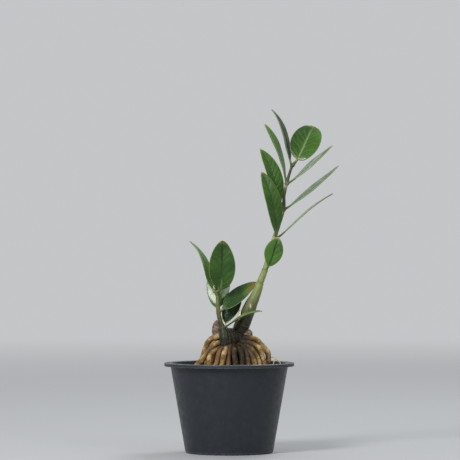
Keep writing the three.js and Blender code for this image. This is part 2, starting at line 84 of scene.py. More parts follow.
# Stubs that the leaflets sit on: radius, mesh, and the flare in the stem, in radii from inside outwards
STUB_RADIUS = 1.35
STUB_SIDES = 24
STUB_FLARE = [1.7, 1.6, 1.45, 1.25, 1.1, 1.02, 1, 0.96]

# Rings on the stems, by height: the old leaf scars and the nodes
TALL_NODES = [128.5, 170.6, 183.6, 212.4, 216.4, 242.6, 268.8]
SHORT_NODES = [125.2, 140.6, 159.5]

# Above this height the stem is pale below its nodes
PALE_NODES = 205

# The pale lens-shaped scar on the front of the tall stem, and how far it reaches sideways and upwards
SCAR = [21.15, 146.8]
SCAR_HALF = [0.9, 2.3]

# Dry scales: mesh
SCALE_ROWS = 60
SCALE_COLUMNS = 18

# Leaflet blades: thickness, how far in the margin is rounded, the stalk's share of the length, and the mesh
BLADE_THICK = 1
MARGIN_THICK = 0.6
MARGIN_ROUND = 0.4
STALK_SHARE = 0.06
STALK_RADIUS = 0.9 * STUB_RADIUS
BLADE_ROWS = 100
BLADE_COLUMNS = 49

# The curve of a blade's middle: how far it keeps its first direction, where it bends and how much an arch
# lifts it there, as shares of its length, and its samples
BLADE_LEAVE = 0.16
BLADE_BEND = 0.62
BLADE_ARCH = 1.6
BLADE_SAMPLES = 1500

# Leaflet blades: how far apart the side veins are, how far forward they sweep, how unevenly they are spaced
# and how wide, then depths and half widths of the midrib's groove and keel, depths of the veins and of the
# puffed fields between them, and the length of the dry tip
VEIN_PITCH = 6.6
VEIN_SWEEP = 0.95
VEIN_JITTER = 0.55
VEIN_HALF = 0.085
RIB_GROOVE = 0.34
RIB_GROOVE_HALF = 0.55
RIB_COLOUR_HALF = 0.85
KEEL = 0.42
KEEL_HALF = 0.75
VEIN_DEPTH = 0.09
FIELD_PUFF = 0.17
TIP_REACH = 2

# Roots: radius, depth in the mix, mesh, ring wrinkles, how near another root must be for painted shade to
# darken one, how slowly they sway along each axis, and the looks that each stretch of their skin is given
ROOT_THICK = 2.85
ROOT_DEPTH = 10
ROOT_SIDES = 30
ROOT_RING_PITCH = 2.1
BUD_RING_PITCH = 3.1
CLEFT_REACH = 3
WANDER = np.array([4.6, 5.3, 6.1])
ROOT_LOOKS = ("redness", "ring", "cleft", "shade", "crown", "bud", "wire")

# Camera, in millimetres, and the room: its colour, the floor, and the point in metres that the lights face
CAMERA_DISTANCE = 3120
CAMERA_HEIGHT = 222.6
CAMERA_SIDE = 0.75
FIELD_WIDTH = 460
SENSOR_WIDTH = 36
PALE = (0.55, 0.56, 0.575)
FLOOR_RADIUS = 6000
FLOOR_SIDES = 96
LIGHT_AIM = (0, 0, 0.2)

# Each stem from its foot upwards: x, y, height and radius
TALL_STATIONS = [
    [7.5, 3, 114, 6.4],
    [10.6, 2.6, 121, 7.2],
    [15.2, 1.8, 132, 7.1],
    [19.4, 1, 142.6, 6.7],
    [22, 0.6, 148.6, 6.2],
    [25, 0.3, 154.6, 5.35],
    [28.4, 0, 162.6, 4.35],
    [31, 0, 170.6, 3.6],
    [34.2, -0.4, 178.6, 3.2],
    [36.6, -0.8, 185.6, 2.85],
    [40.6, -1, 200, 2.35],
    [45.2, -1, 215, 2.3],
    [50.4, -0.4, 231, 2],
    [54.2, 0, 244.6, 2],
    [54.9, 0.6, 257, 1.5],
    [57.8, 1, 270.6, 1.7],
    [60.9, 1.6, 281, 1.35],
    [64.2, 2, 289.8, 1.5],
]

SHORT_STATIONS = [
    [-3.4, -7.6, 109, 4.9],
    [-4.4, -7.2, 115, 5.7],
    [-5.3, -6.6, 121.5, 4.8],
    [-7.2, -6, 127.5, 3.2],
    [-9.3, -5.4, 133, 2.3],
    [-10.5, -5, 138, 2.1],
    [-11.1, -4.6, 143, 2.15],
    [-11.7, -4, 153, 1.75],
    [-12.5, -3.4, 162.6, 1.6],
]

# The form of each leaflet: at is the height where it leaves its stem, out the direction in which it leaves,
# tip its end, face the way its upper side turns, and roll its twist in degrees. Arch is a share of its
# length, fold and wave are shares of its half width, widest is where along it it is broadest, and full is
# smaller for a blunter outline. Then its looks: tone is darker below 0 and lighter above, partly the
# leaflet's own tone and partly painted light and shade on the whole leaflet, lean is a painted sheen and
# shade, how much lighter one side is than the middle, rib is the midrib at its foot and its tip and veins
# the side veins, dark below 0 as painted shade in their grooves and pale above, ageing is how far yellow
# and brown reach in from the tip, relief is how deep the veins are, and gloss is how little dust the blade
# carries
PLAIN_LEAFLET = dict(
    roll=0, widest=0.5, full=0.72, wave=0.03, tone=0, lean=0, rib=[0.2, 0.2], ageing=0, veins=0.3, gloss=0,
)


def leaflet(**form):
    return {**PLAIN_LEAFLET, **form}


TALL_LEAFLETS = {
    "lower_front": leaflet(
        at=183.6, out=[0.5, -0.8, 0.35], tip=[49.2, -9.5, 215.6], width=18.5, face=[0.05, -1, 0.25],
        arch=0.03, fold=0.2, wave=0.02, tone=0.3, lean=-0.35, rib=[-0.9, -1.2], veins=0.5, relief=1,
    ),
    "left_front": leaflet(
        at=216.4, out=[0.15, -0.85, 0.5], tip=[31.7, -19, 280.6], width=20.5, face=[0.62, -0.76, 0.1],
        arch=0.11, fold=0.2, roll=-24, widest=0.43, full=0.66, tone=0.15, rib=[-0.3, -0.6], veins=-0.9,
        relief=0.9, gloss=-1.2,
    ),
    "left_middle": leaflet(
        at=243, out=[-0.3, -0.4, 0.8], tip=[30.4, -3, 303.9], width=20, face=[0.62, -0.72, 0.2],
        arch=0.11, fold=0.22, roll=-16, widest=0.44, full=0.8, tone=0.2, rib=[-0.3, -0.6], veins=-0.9,
        relief=1.1,
    ),
    "left_back": leaflet(
        at=269, out=[-0.12, 0.6, 0.78], tip=[35, 9, 329.2], width=19, face=[0.86, -0.32, 0.34],
        arch=0.06, fold=0.16, roll=-14, tone=1.5, relief=0.4, gloss=-0.4,
    ),
    "top_left": leaflet(
        at=286.6, out=[-0.3, 0.6, 0.7], tip=[42, 15, 344.5], width=18, face=[0.9, -0.32, 0.34],
        arch=0.09, fold=0.14, roll=10, widest=0.48, tone=-0.9, rib=[-0.3, -0.3], veins=0.5, relief=0.5,
    ),
    "top_right": leaflet(
        at=287, out=[0.62, -0.4, 0.7], tip=[85, 24, 326.8], width=29.6, face=[-0.04, -0.88, 0.47],
        arch=0.07, fold=0.14, widest=0.48, full=0.42, tone=-0.05, lean=0.5, rib=[1, 0.7], ageing=0.04,
        veins=1.5, relief=0.9, gloss=0.6,
    ),
    "right_upper": leaflet(
        at=268.6, out=[0.82, -0.3, 0.5], tip=[102.9, -8, 306.9], width=19, face=[-0.6, -0.25, 0.75],
        arch=-0.02, fold=0.12, veins=0.15, relief=0.15, gloss=1,
    ),
    "right_middle": leaflet(
        at=242.2, out=[0.78, -0.35, 0.52], tip=[108.9, -10, 286.8], width=20, face=[-0.6, -0.21, 0.75],
        arch=-0.03, fold=0.1, tone=-0.35, veins=0.15, relief=0.15, gloss=-0.6,
    ),
    "right_lower": leaflet(
        at=212.4, out=[0.8, 0.2, 0.55], tip=[103.8, 6, 259.1], width=19, face=[-0.62, -0.06, 0.78],
        arch=0.045, fold=0.04, wave=0.01, tone=0.9, veins=0.2, relief=0.2, gloss=0.6,
    ),
}

SHORT_LEAFLETS = {
    "front": leaflet(
        at=160.6, out=[0.6, -0.7, 0.42], tip=[-6.5, -13, 212], width=26.5, face=[0.08, -1, 0.1],
        arch=0.03, fold=0.24, widest=0.45, full=0.57, tone=-0.3, rib=[0.7, -1.8], ageing=0.05,
        veins=-0.5, relief=1.2, gloss=-0.2,
    ),
    "upper_left": leaflet(
        at=158.4, out=[-0.62, 0.5, 0.6], tip=[-39.6, 2, 211.6], width=19, face=[0.84, -0.36, 0.42],
        arch=0.11, fold=0.16, roll=40, tone=1.1, rib=[0.1, 0.1], relief=0.35, gloss=-0.8,
    ),
    "back": leaflet(
        at=141, out=[-0.14, 0.9, 0.4], tip=[-9.5, 15, 198], width=23.5, face=[0, -0.94, 0.34],
        arch=-0.02, fold=-0.22, widest=0.46, full=0.68, rib=[-0.2, -0.2], veins=0.1, relief=0.12,
        gloss=1,
    ),
    "right": leaflet(
        at=140.2, out=[0.82, -0.22, 0.55], tip=[27.6, 13.3, 170.2], width=19, face=[-0.4, -0.76, 0.5],
        arch=0.06, fold=0.16, widest=0.41, full=0.62, tone=-0.7, rib=[-0.4, 0.1], ageing=0.42,
        veins=-0.3, relief=0.45, gloss=-0.6,
    ),
    "lower_back": leaflet(
        at=124, out=[0.2, 0.82, 0.55], tip=[10.4, 13, 162], width=18.5, face=[-0.3, -0.9, 0.36],
        arch=0.02, fold=0.22, full=0.7, wave=0.02, tone=-1.1, rib=[-0.2, -0.2], relief=0.3, gloss=-0.6,
    ),
    "lower_right": leaflet(
        at=124.6, out=[0.6, -0.72, 0.4], tip=[32.8, -20, 142], width=16.5, face=[-0.38, -0.06, 0.9],
        arch=0.09, fold=0.14, widest=0.48, wave=0.02, tone=0.9, veins=0.2, relief=0.2, gloss=0.8,
    ),
}

# The lumps of the rhizome: the middle and the half sizes of each
RHIZOME_LUMPS = [
    ([2, 2, 114], [17, 13, 10.5]),
    ([-12.2, 1.5, 122], [5, 6, 10.8]),
    ([19, 0, 117.2], [4.6, 6, 6.4]),
    ([5, 10, 115], [10, 7, 8.5]),
    ([3, 1, 99], [14, 12, 13]),
    ([-3.8, -7.6, 108.4], [6.6, 5.8, 4.8]),
]
# The two of them that bud out beside the shoots
BUDS = RHIZOME_LUMPS[1:3]

# Each root: where it leaves the rhizome, the points it arches over, where it enters the mix, its redness
ROOTS = [
    (
        [-5, -3, 114.5],
        [[-11, -5.5, 115.6], [-16, -5, 114.6], [-20.5, -3.5, 111.2], [-24, -1, 104.6]],
        [-28, 2], 0.15,
    ),
    (
        [-6, -4, 110],
        [[-12, -8, 108.8], [-16.5, -9.5, 105.6], [-21, -10, 101.2], [-25.4, -10, 95.5]],
        [-32.4, -9], 0.05,
    ),
    ([-5, -5, 107], [[-10.5, -11, 104.2], [-15, -12.5, 101.5], [-18.4, -13.5, 97]], [-20.2, -14], 0.1),
    ([-3, -5, 106], [[-9, -14, 101.5]], [-13.6, -18.6], 0.7),
    ([0, -6, 107], [[-3.4, -16, 102.5]], [-8, -22.6], 0),
    ([3, -5, 108], [[-0.5, -13, 104]], [-0.8, -21.4], 0.5),
    ([5, -5, 108], [[5.4, -14, 103.6]], [6.2, -22.4], 0.15),
    ([7, -5, 107], [[11.2, -13, 103.2]], [13, -21], 0.45),
    ([9, -4, 108], [[15.6, -11, 104.6]], [19.4, -19], 0.35),
    ([8, -5, 108.5], [[16.6, -10.5, 105], [22.4, -14.5, 97.6]], [25, -16.6], 0.05),
    ([9, -4, 110.5], [[17, -8.6, 107.8], [25, -12, 101.4]], [29.6, -13], 0.1),
    (
        [10, -4, 112.5],
        [[15.4, -7.6, 111], [21.4, -9, 109.4], [27, -9.2, 106], [31.6, -8.6, 101.2]],
        [35, -7.2], 0,
    ),
    (
        [10, -2, 114],
        [
            [15, -4.8, 115.4], [20.5, -5.4, 114.8], [26.5, -4.4, 112.4], [31.8, -2.5, 108.4],
            [36.6, 0, 103.2], [38.6, 1, 99.4],
        ],
        [37.8, 1], 0.05,
    ),
    ([11, 5, 113], [[21, 10, 110], [29, 13, 102]], [32.6, 14], 0.3),
    ([10, 7, 113], [[18, 17, 110]], [24, 25], 0.2),
    ([6, 9, 112], [[10, 22, 107]], [13, 31], 0.1),
    ([2, 9, 111], [[-1, 20, 104]], [-2, 26], 0.5),
    ([-3, 9, 113], [[-11, 20, 109]], [-16, 30], 0.1),
    ([-6, 6, 113], [[-15, 11, 109], [-21, 14, 101.5]], [-24.6, 15.4], 0.4),
]

# Thin side roots, as the points that each runs through
ROOTLETS = [
    [[38.4, 1, 95], [43.6, 1, 95.6], [46.6, 0.4, 94], [51.2, 0, 89], [53, 0, 80]],
    [[45.6, 0.6, 94.8], [45.4, -0.6, 92.4], [44.4, -1.2, 89.6], [44, -1.4, 80]],
]
ROOTLET_RADIUS = 0.6


# Small geometry helpers, all in millimetres

def unit(a):
    a = np.asarray(a, float)
    return a / np.linalg.norm(a, axis=-1, keepdims=True)


def held(share):
    """A share, or many, held from 0 to 1."""
    return np.clip(share, 0, 1)


def across_from(direction, along):
    """The part of each direction that is square to along, at unit length."""
    return unit(direction - (direction * along).sum(-1, keepdims=True) * along)


def smooth_line(points, count):
    """A centripetal Catmull-Rom line through the points, sampled evenly between them."""
    points = np.asarray(points, float)
    first = 2 * points[0] - points[1]
    last = 2 * points[-1] - points[-2]
    padded = np.vstack([first, points, last])
    spans = len(points) - 1
    out = []
    for t in np.linspace(0, spans, count):
        i = min(spans - 1, int(t))
        w = t - i
        p0, p1, p2, p3 = padded[i:i + 4]
        d0, d1, d2 = [max(1e-4, np.linalg.norm(b - a)) ** 0.5 for a, b in ((p0, p1), (p1, p2), (p2, p3))]
        m1 = ((p1 - p0) / d0 - (p2 - p0) / (d0 + d1) + (p2 - p1) / d1) * d1
        m2 = ((p2 - p1) / d1 - (p3 - p1) / (d1 + d2) + (p3 - p2) / d2) * d1
        out.append(
            p1 + m1 * w
            + (-3 * p1 + 3 * p2 - 2 * m1 - m2) * w ** 2
            + (2 * p1 - 2 * p2 + m1 + m2) * w ** 3
        )
    return np.array(out)


def tangents(line):
    return unit(np.gradient(line, axis=0))


def lengths(line):
    """How far each point of the line is from its start, along it."""
    steps = np.linalg.norm(np.diff(line, axis=0), axis=1)
    return np.concatenate([[0], np.cumsum(steps)])


def read_off(at, places, values):
    """Values that are given at some places, read off at others."""
    return np.stack([np.interp(at, places, column) for column in values.T], -1)


def turns_of(count):
    """Angles spaced evenly round a circle."""
    return np.linspace(0, 2 * np.pi, count, endpoint=False)


def circle(radius, height, turns):
    """Points round the z axis."""
    return np.stack(np.broadcast_arrays(radius * np.cos(turns), radius * np.sin(turns), height), -1)


def carried_frames(line):
    """Two directions square to the line, and to each other, that turn as little as they can along it."""
    along = tangents(line)
    across = np.zeros_like(line)
    across[0] = across_from(np.array([0, -1, 0]), along[0])
    for i in range(1, len(line)):
        across[i] = across_from(across[i - 1], along[i])
    return across, np.cross(along, across)


def ring_skin(rings):
    """Equal rings of points as points and faces: quads between the rings, and a cap on each end."""
    count, size = rings.shape[:2]
    row = np.arange(count - 1)[:, None] * size
    k = np.arange(size)[None, :]
    nxt = (k + 1) % size
    quads = np.stack([row + k, row + nxt, row + nxt + size, row + k + size], -1).reshape(-1, 4)
    faces = quads.tolist()
    faces.append(list(range(size - 1, -1, -1)))
    faces.append(list(range((count - 1) * size, count * size)))
    return rings.reshape(-1, 3), faces


def rod(line, radii, sides):
    """A closed round rod along a line: its points, its faces, and the way out at each point."""
    across, beside = carried_frames(line)
    turn = turns_of(sides)
    out = across[:, None] * np.cos(turn)[None, :, None] + beside[:, None] * np.sin(turn)[None, :, None]
    return *ring_skin(line[:, None] + out * np.asarray(radii)[:, None, None]), out.reshape(-1, 3)


def read_shape(shape):
    """The points and faces of a bmesh, which is freed."""
    points = np.array([v.co[:] for v in shape.verts])
    faces = [[v.index for v in f.verts] for f in shape.faces]
    shape.free()
    return points, faces


def ball(middle, half):
    """A ball with a half size along each axis."""
    shape = bmesh.new()
    bmesh.ops.create_icosphere(shape, subdivisions=4, radius=1)
    points, faces = read_shape(shape)
    return points * half + middle, faces


def joined(parts):
    """The points and faces of all the parts; whatever else a part holds is left out."""
    points = []
    faces = []
    start = 0
    for part_points, part_faces, *_ in parts:
        points.append(part_points)
        faces.extend([[i + start for i in face] for face in part_faces])
        start += len(part_points)
    return np.vstack(points), faces


def crumble(points, size, detail, seed):
    """Fractal noise at each point, from about -1 to 1, with features of the given size."""
    seed += SEED
    shift = np.array([seed * 17.3, seed * -9.1, seed * 5.7])
    return np.array([noise.fractal(Vector(p), 1, 2, detail) for p in points / size + shift])


def into_scene(name, data):
    thing = bpy.data.objects.new(name, data)
    bpy.context.scene.collection.objects.link(thing)
    return thing


def place(name, mesh, attributes=None):
    """Puts a mesh into the scene, smooth, with its attributes: a value for each point under each name."""
    for key, values in (attributes or {}).items():
        layer = mesh.attributes.new(key, "FLOAT", "POINT")
        layer.data.foreach_set("value", np.asarray(values, np.float32).ravel())
    mesh.shade_smooth()
    return into_scene(name, mesh)


def new_object(name, points, faces, attributes=None):
    mesh = bpy.data.meshes.new(name)
    mesh.from_pydata((np.asarray(points) * MM).tolist(), [], faces)
    mesh.update()
    return place(name, mesh, attributes)


def applied(piece):
    """The mesh that a piece's modifiers make. The piece itself is removed."""
    graph = bpy.context.evaluated_depsgraph_get()
    mesh = bpy.data.meshes.new_from_object(piece.evaluated_get(graph))
    bpy.data.objects.remove(piece)
    return mesh


def triples(items, key):
    """Three numbers for each item of a mesh, as rows."""
    flat = np.zeros(len(items) * 3)
    items.foreach_get(key, flat)
    return flat.reshape(-1, 3)


def fuse(parts, voxel, softening):
    """Overlapping closed parts as one skin of small quads: its points, faces and normals."""
    source = new_object("fuse_source", *joined(parts))
    remesh = source.modifiers.new("fuse", "REMESH")
    remesh.mode = "VOXEL"
    remesh.voxel_size = voxel * MM
    soften = source.modifiers.new("soften", "SMOOTH")
    soften.factor = 0.5
    soften.iterations = softening
    mesh = applied(source)
    points = triples(mesh.vertices, "co") / MM
    faces = [list(p.vertices) for p in mesh.polygons]
    normals = triples(mesh.vertex_normals, "vector")
    bpy.data.meshes.remove(mesh)
    return points, faces, normals


def nearest_on(points, line):
    """For each point, the index of the nearest sample of a line, and how far off it is."""
    found = []
    for some in np.array_split(points, len(points) // 4000 + 1):
        gaps = np.linalg.norm(some[:, None] - line[None], axis=2)
        found.append((gaps.argmin(1), gaps.min(1)))
    return [np.concatenate(values) for values in zip(*found)]


def dress(piece, material, slot, *nodes):
    """Gives a piece its material and its place in the frame."""
    piece.data.materials.clear()
    piece.data.materials.append(material)
    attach(piece, "root")
    if nodes:
        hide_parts(*nodes)


# Material helpers

class Paint:
    """A Principled material whose patterns are built from nodes, and whose colour is laid on in layers."""

    def __init__(self, name, roughness=0.5, **sockets):
        self.material = bpy.data.materials.new(name)
        self.material.use_nodes = True
        self.tree = self.material.node_tree
        self.shader = self.tree.nodes["Principled BSDF"]
        self.shader.inputs["Roughness"].default_value = roughness
        for key, value in sockets.items():
            self.shader.inputs[key.replace("_", " ")].default_value = value
        self.place = self.tree.nodes.new("ShaderNodeTexCoord").outputs["Object"]
        self.colour = None

    def feed(self, socket, value):
        """Links an output to a socket, or sets its value. A colour is given as three numbers."""
        if isinstance(value, bpy.types.NodeSocket):
            self.tree.links.new(value, socket)
        else:
            socket.default_value = (*value, 1) if socket.type == "RGBA" else value

    def add(self, kind, inputs, **settings):
        """A new node with its settings, and what feeds its inputs."""
        node = self.tree.nodes.new(kind)
        for key, value in settings.items():
            setattr(node, key, value)
        for key, value in inputs.items():
            self.feed(node.inputs[key], value)
        return node

    def attribute(self, name):
        return self.add("ShaderNodeAttribute", {}, attribute_name=name).outputs["Fac"]

    def noise(self, size, detail=3, roughness=0.55, upright=1):
        """Noise with features of a size in millimetres, drawn out upwards where upright is below 1."""
        where = self.place
        if upright < 1:
            where = self.add("ShaderNodeMapping", {"Vector": where, "Scale": (1, 1, upright)}).outputs[0]
        inputs = {"Vector": where, "Scale": 1 / (size * MM), "Detail": detail, "Roughness": roughness}
        return self.add("ShaderNodeTexNoise", inputs).outputs["Fac"]

    def cells(self, size):
        """The distance from the heart of the nearest cell, in a pattern of cells of the given size."""
        inputs = {"Vector": self.place, "Scale": 1 / (size * MM)}
        return self.add("ShaderNodeTexVoronoi", inputs).outputs["Distance"]

    def maths(self, operation, a, b):
        return self.add("ShaderNodeMath", {0: a, 1: b}, operation=operation).outputs[0]

    def times(self, a, b):
        return self.maths("MULTIPLY", a, b)

    def plus(self, total, *values):
        for value in values:
            total = self.maths("ADD", total, value)
        return total

    def spread(self, value, low=0.3, high=0.7, to_low=0, to_high=1):
        """value taken from low..high to to_low..to_high, held at both ends."""
        inputs = {"Value": value, "From Min": low, "From Max": high, "To Min": to_low, "To Max": to_high}
        return self.add("ShaderNodeMapRange", inputs, interpolation_type="SMOOTHSTEP").outputs["Result"]

    def ramp(self, value, *stops):
        node = self.add("ShaderNodeValToRGB", {"Fac": value})
        elements = node.color_ramp.elements
        while len(elements) < len(stops):
            elements.new(0.5)
        for element, (position, colour) in zip(elements, stops):
            element.position = position
            element.color = (*colour, 1)
        return node.outputs["Color"]

    def cover(self, colour, share, strength=1):
        """Lays a colour over those below it. share is a value or an attribute's name, held from 0 to 1."""
        if isinstance(share, str):
            share = self.attribute(share)
        if strength != 1:
            share = self.times(share, strength)
        inputs = {"Factor": share, "A": self.colour, "B": colour}
        node = self.add("ShaderNodeMix", inputs, data_type="RGBA", clamp_factor=True)
        self.colour = node.outputs["Result"]

    def roughness(self, value):
        self.feed(self.shader.inputs["Roughness"], value)

    def bump(self, height, depth, strength=1):
        """A fine relief of the given depth in millimetres."""
        node = self.add("ShaderNodeBump", {"Height": height, "Distance": depth * MM, "Strength": strength})
        self.feed(self.shader.inputs["Normal"], node.outputs["Normal"])

    def done(self):
        self.feed(self.shader.inputs["Base Color"], self.colour)
        return self.material


# Materials

def leaf_material():
    paint = Paint("leaf_blade_skin", 0.3, Specular_IOR_Level=0.22, Coat_Weight=0.16, Coat_Roughness=0.2)
    broad = paint.spread(paint.noise(14, 2))
    paint.colour = paint.ramp(broad, (0, (0.018, 0.056, 0.005)), (1, (0.038, 0.102, 0.01)))
    paint.cover((0.06, 0.13, 0.022), paint.spread(paint.noise(1.3, 4, 0.6), 0.4, 0.75), 0.35)
    # tone and lean: painted light and shade on each leaflet and on one side of it, partly its own tone
    paint.cover((0.1, 0.215, 0.035), "tone", 0.6)
    paint.cover((0.006, 0.017, 0.007), "tone", -0.75)
    paint.cover((0.075, 0.17, 0.04), "vein", 0.38)
    # dark veins: painted shade in their grooves
    paint.cover((0.01, 0.032, 0.005), "vein", -0.6)
    paint.cover((0.2, 0.3, 0.12), "rib", 0.75)
    # dark midrib: painted shade in its groove
    paint.cover((0.008, 0.026, 0.005), "rib", -0.85)
    below = paint.maths("SUBTRACT", 1, paint.attribute("upper"))
    paint.cover((0.07, 0.14, 0.045), below, 0.75)
    paint.cover((0.2, 0.27, 0.08), "margin", 0.7)
    paint.cover((0.4, 0.32, 0.2), "point")
    patchy = paint.times(paint.attribute("ageing"), paint.spread(paint.noise(3), to_low=0.75, to_high=1.25))
    aged = paint.ramp(
        paint.spread(patchy, 0.1, 1),
        (0, (0.028, 0.08, 0.004)), (0.45, (0.046, 0.1, 0.002)),
        (0.85, (0.07, 0.095, 0.001)), (1, (0.115, 0.078, 0.002)),
    )
    paint.cover(aged, paint.spread(patchy, 0.05, 0.5))
    paint.cover((0.1, 0.14, 0.045), "stalk")
    film = paint.spread(paint.noise(5, 4, 0.65), 0.35, 0.7, 0, 0.14)
    duller = paint.times(below, 0.22)
    clean = paint.times(paint.attribute("gloss"), -0.12)
    paint.roughness(paint.plus(film, duller, 0.26, clean))
    paint.bump(paint.plus(paint.cells(0.45), paint.times(paint.noise(0.9, 4), 0.6)), 0.012, 0.12)
    return paint.done()


def stem_material(name, *stops):
    """The skin of a stem, whose colours by height are the stops."""
    paint = Paint(name, 0.45, Specular_IOR_Level=0.26, Coat_Weight=0.07, Coat_Roughness=0.3)
    paint.colour = paint.ramp(paint.attribute("level"), *stops)
    streaks = paint.noise(0.9, 4, 0.6, 0.12)
    brighter = paint.add("ShaderNodeBrightContrast", {"Color": paint.colour, "Bright": 0.05})
    paint.cover(brighter.outputs["Color"], paint.spread(streaks, 0.5, 0.75, 0, 0.8))
    paint.cover((0.05, 0.065, 0.022), paint.spread(streaks, 0.5, 0.3, 0, 0.45))
    paint.cover((0.06, 0.1, 0.035), paint.spread(paint.noise(2.2, 3, 0.5, 0.45), 0.56, 0.66), 0.3)
    paint.cover((0.07, 0.06, 0.025), "ring", 0.75)
    paint.cover((0.42, 0.41, 0.28), "scar")
    paint.cover((0.36, 0.31, 0.2), "node", 0.8)
    paint.cover((0.1, 0.13, 0.045), "stub", 0.6)
    paint.roughness(paint.spread(paint.noise(3), to_low=0.36, to_high=0.55))
    paint.bump(paint.plus(streaks, paint.times(paint.noise(0.5), 0.4)), 0.08, 0.8)
    return paint.done()


def root_material():
    paint = Paint("root_bark_skin", 0.7, Specular_IOR_Level=0.22)
    paint.colour = paint.ramp(
        paint.spread(paint.noise(7), 0.3, 0.72),
        (0, (0.1, 0.056, 0.016)), (0.5, (0.26, 0.165, 0.056)), (1, (0.53, 0.385, 0.2)),
    )
    fine = paint.noise(1.1, 5, 0.65)
    paint.cover((0.1, 0.055, 0.022), paint.spread(fine, 0.52, 0.35, 0, 0.6))
    paint.cover((0.6, 0.49, 0.33), paint.spread(fine, 0.6, 0.8, 0, 0.5))
    paint.cover((0.17, 0.075, 0.032), "redness", 0.75)
    bark = paint.ramp(
        paint.spread(paint.noise(3, 4, 0.6)),
        (0, (0.06, 0.034, 0.025)), (0.5, (0.15, 0.1, 0.078)), (1, (0.27, 0.2, 0.16)),
    )
    paint.cover(bark, "bud")
    # the crown's fibres in near black: painted shade
    fibres = paint.ramp(
        paint.spread(paint.noise(1.2, 4, 0.6, 0.16), 0.32, 0.7),
        (0, (0.004, 0.003, 0.002)), (0.65, (0.013, 0.0095, 0.006)), (1, (0.05, 0.036, 0.022)),
    )
    paint.cover(fibres, "crown")
    paint.cover((0.06, 0.034, 0.016), "ring", 0.75)
    paint.cover((0.011, 0.008, 0.0045), "shade")
    # painted shade in the clefts between the roots
    paint.cover((0.022, 0.013, 0.006), "cleft", 0.95)
    paint.cover((0.47, 0.35, 0.21), "wire")
    paint.cover((0.035, 0.022, 0.013), "soiled")
    paint.roughness(paint.spread(fine, to_low=0.48, to_high=0.8))
    paint.bump(paint.plus(fine, paint.cells(0.8)), 0.16, 0.9)
    return paint.done()


def scale_material():
    paint = Paint("dry_scale_skin", 0.75)
    fibres = paint.noise(0.5, 4, 0.6, 0.08)
    paint.colour = paint.ramp(paint.spread(fibres), (0, (0.45, 0.37, 0.22)), (1, (0.8, 0.75, 0.58)))
    # the dark lower part: partly an old sheath base, partly painted shade
    paint.cover((0.03, 0.024, 0.011), "worn")
    paint.bump(fibres, 0.08, 0.8)
    return paint.done()


def pot_material():
    paint = Paint("pot_plastic_skin", 0.4, Specular_IOR_Level=0.42)
    paint.colour = (0.011, 0.015, 0.02)
    dust = paint.spread(paint.noise(9, 4, 0.6), 0.4, 0.75, 0, 0.5)
    paint.cover((0.019, 0.026, 0.034), dust)
    scuffs = paint.spread(paint.noise(2.5, 5, 0.7, 0.25), 0.62, 0.74, 0, 0.45)
    paint.cover((0.05, 0.055, 0.06), scuffs)
    wear = paint.times(paint.attribute("edge"), paint.spread(paint.noise(2), 0.3, 0.6))
    paint.cover((0.09, 0.118, 0.145), wear, 0.75)
    paint.cover((0.045, 0.036, 0.025), "stain")
    paint.roughness(paint.spread(paint.noise(6, 4), to_low=0.34, to_high=0.52))
    paint.bump(paint.noise(0.5), 0.025, 0.8)
    return paint.done()


def soil_material():
    paint = Paint("potting_mix_skin", 0.9)
    coarse = paint.noise(2.4, 5, 0.65)
    paint.colour = paint.ramp(
        paint.spread(coarse),
        (0, (0.012, 0.008, 0.006)), (0.6, (0.04, 0.026, 0.017)), (1, (0.095, 0.062, 0.038)),
    )
    paint.cover((0.16, 0.12, 0.085), paint.spread(paint.cells(1.1), 0.12, 0, 0, 0.4))
    paint.bump(paint.plus(coarse, paint.noise(0.7, 4)), 0.5)
    return paint.done()


def crumb_material(name, dark, light, size):
    """Loose bits: each takes a colour of its own between dark and light."""
    paint = Paint(name, 0.85)
    paint.colour = paint.ramp(paint.attribute("shade"), (0, dark), (1, light))
    grain = paint.noise(size, 4, 0.65)
    darker = tuple(0.45 * c for c in dark)
    paint.cover(darker, paint.spread(grain, 0.55, 0.35, 0, 0.6))
    paint.bump(grain, 0.25, 0.9)
    return paint.done()


# Stems and leaflets

class Stem:
    """A shoot's middle line and its radius."""

    def __init__(self, stations):
        stations = np.array(stations, float)
        self.line = smooth_line(stations[:, :3], STEM_SAMPLES)
        places = np.linspace(0, len(stations) - 1, STEM_SAMPLES)
        self.radii = np.interp(places, np.arange(len(stations)), stations[:, 3])
        self.along = tangents(self.line)

    def at(self, height):
        """The heart of the stem at a height, its direction and its radius."""
        heights = self.line[:, 2]
        heart = read_off(height, heights, self.line)
        return heart, unit(read_off(height, heights, self.along)), np.interp(height, heights, self.radii)


def seat_of(stem, form):
    """The stem's heart where a leaflet leaves, the leaflet's direction, its stub's end and its foot."""
    heart, along, radius = stem.at(form["at"])
    out = unit(form["out"])
    slope = abs(out @ along)
    reach = (radius + STUB_RADIUS * slope) / math.sqrt(1 - slope ** 2) + GAP
    end = heart + reach * out
    return heart, out, end, end + GAP * out


def blade_shares():
    """Rows along a blade, closer together at its foot and its tip."""
    steps = np.linspace(0, 1, BLADE_ROWS + 1)
    return 0.55 * steps + 0.45 * (1 - np.cos(np.pi * steps)) / 2


def blade_columns():
    """Columns across a blade from -1 to 1, closer together at the midrib and the margins."""
    w = np.linspace(-1, 1, BLADE_COLUMNS)
    return w - 0.6 * np.sin(2 * np.pi * w) / (2 * np.pi)


def half_width(form, share):
    blade = held((share - STALK_SHARE) / (1 - STALK_SHARE))
    power = math.log(0.5) / math.log(form["widest"])
    bulge = np.clip(np.sin(np.pi * blade ** power), 0, None)
    least = STALK_RADIUS + (MARGIN_THICK / 2 - STALK_RADIUS) * np.minimum(1, 3 * share)
    return np.maximum(least, form["width"] / 2 * bulge ** form["full"])


def band(distance, half):
    """1 in the middle of a soft band, fading outwards."""
    return np.exp(-(distance / half) ** 2)


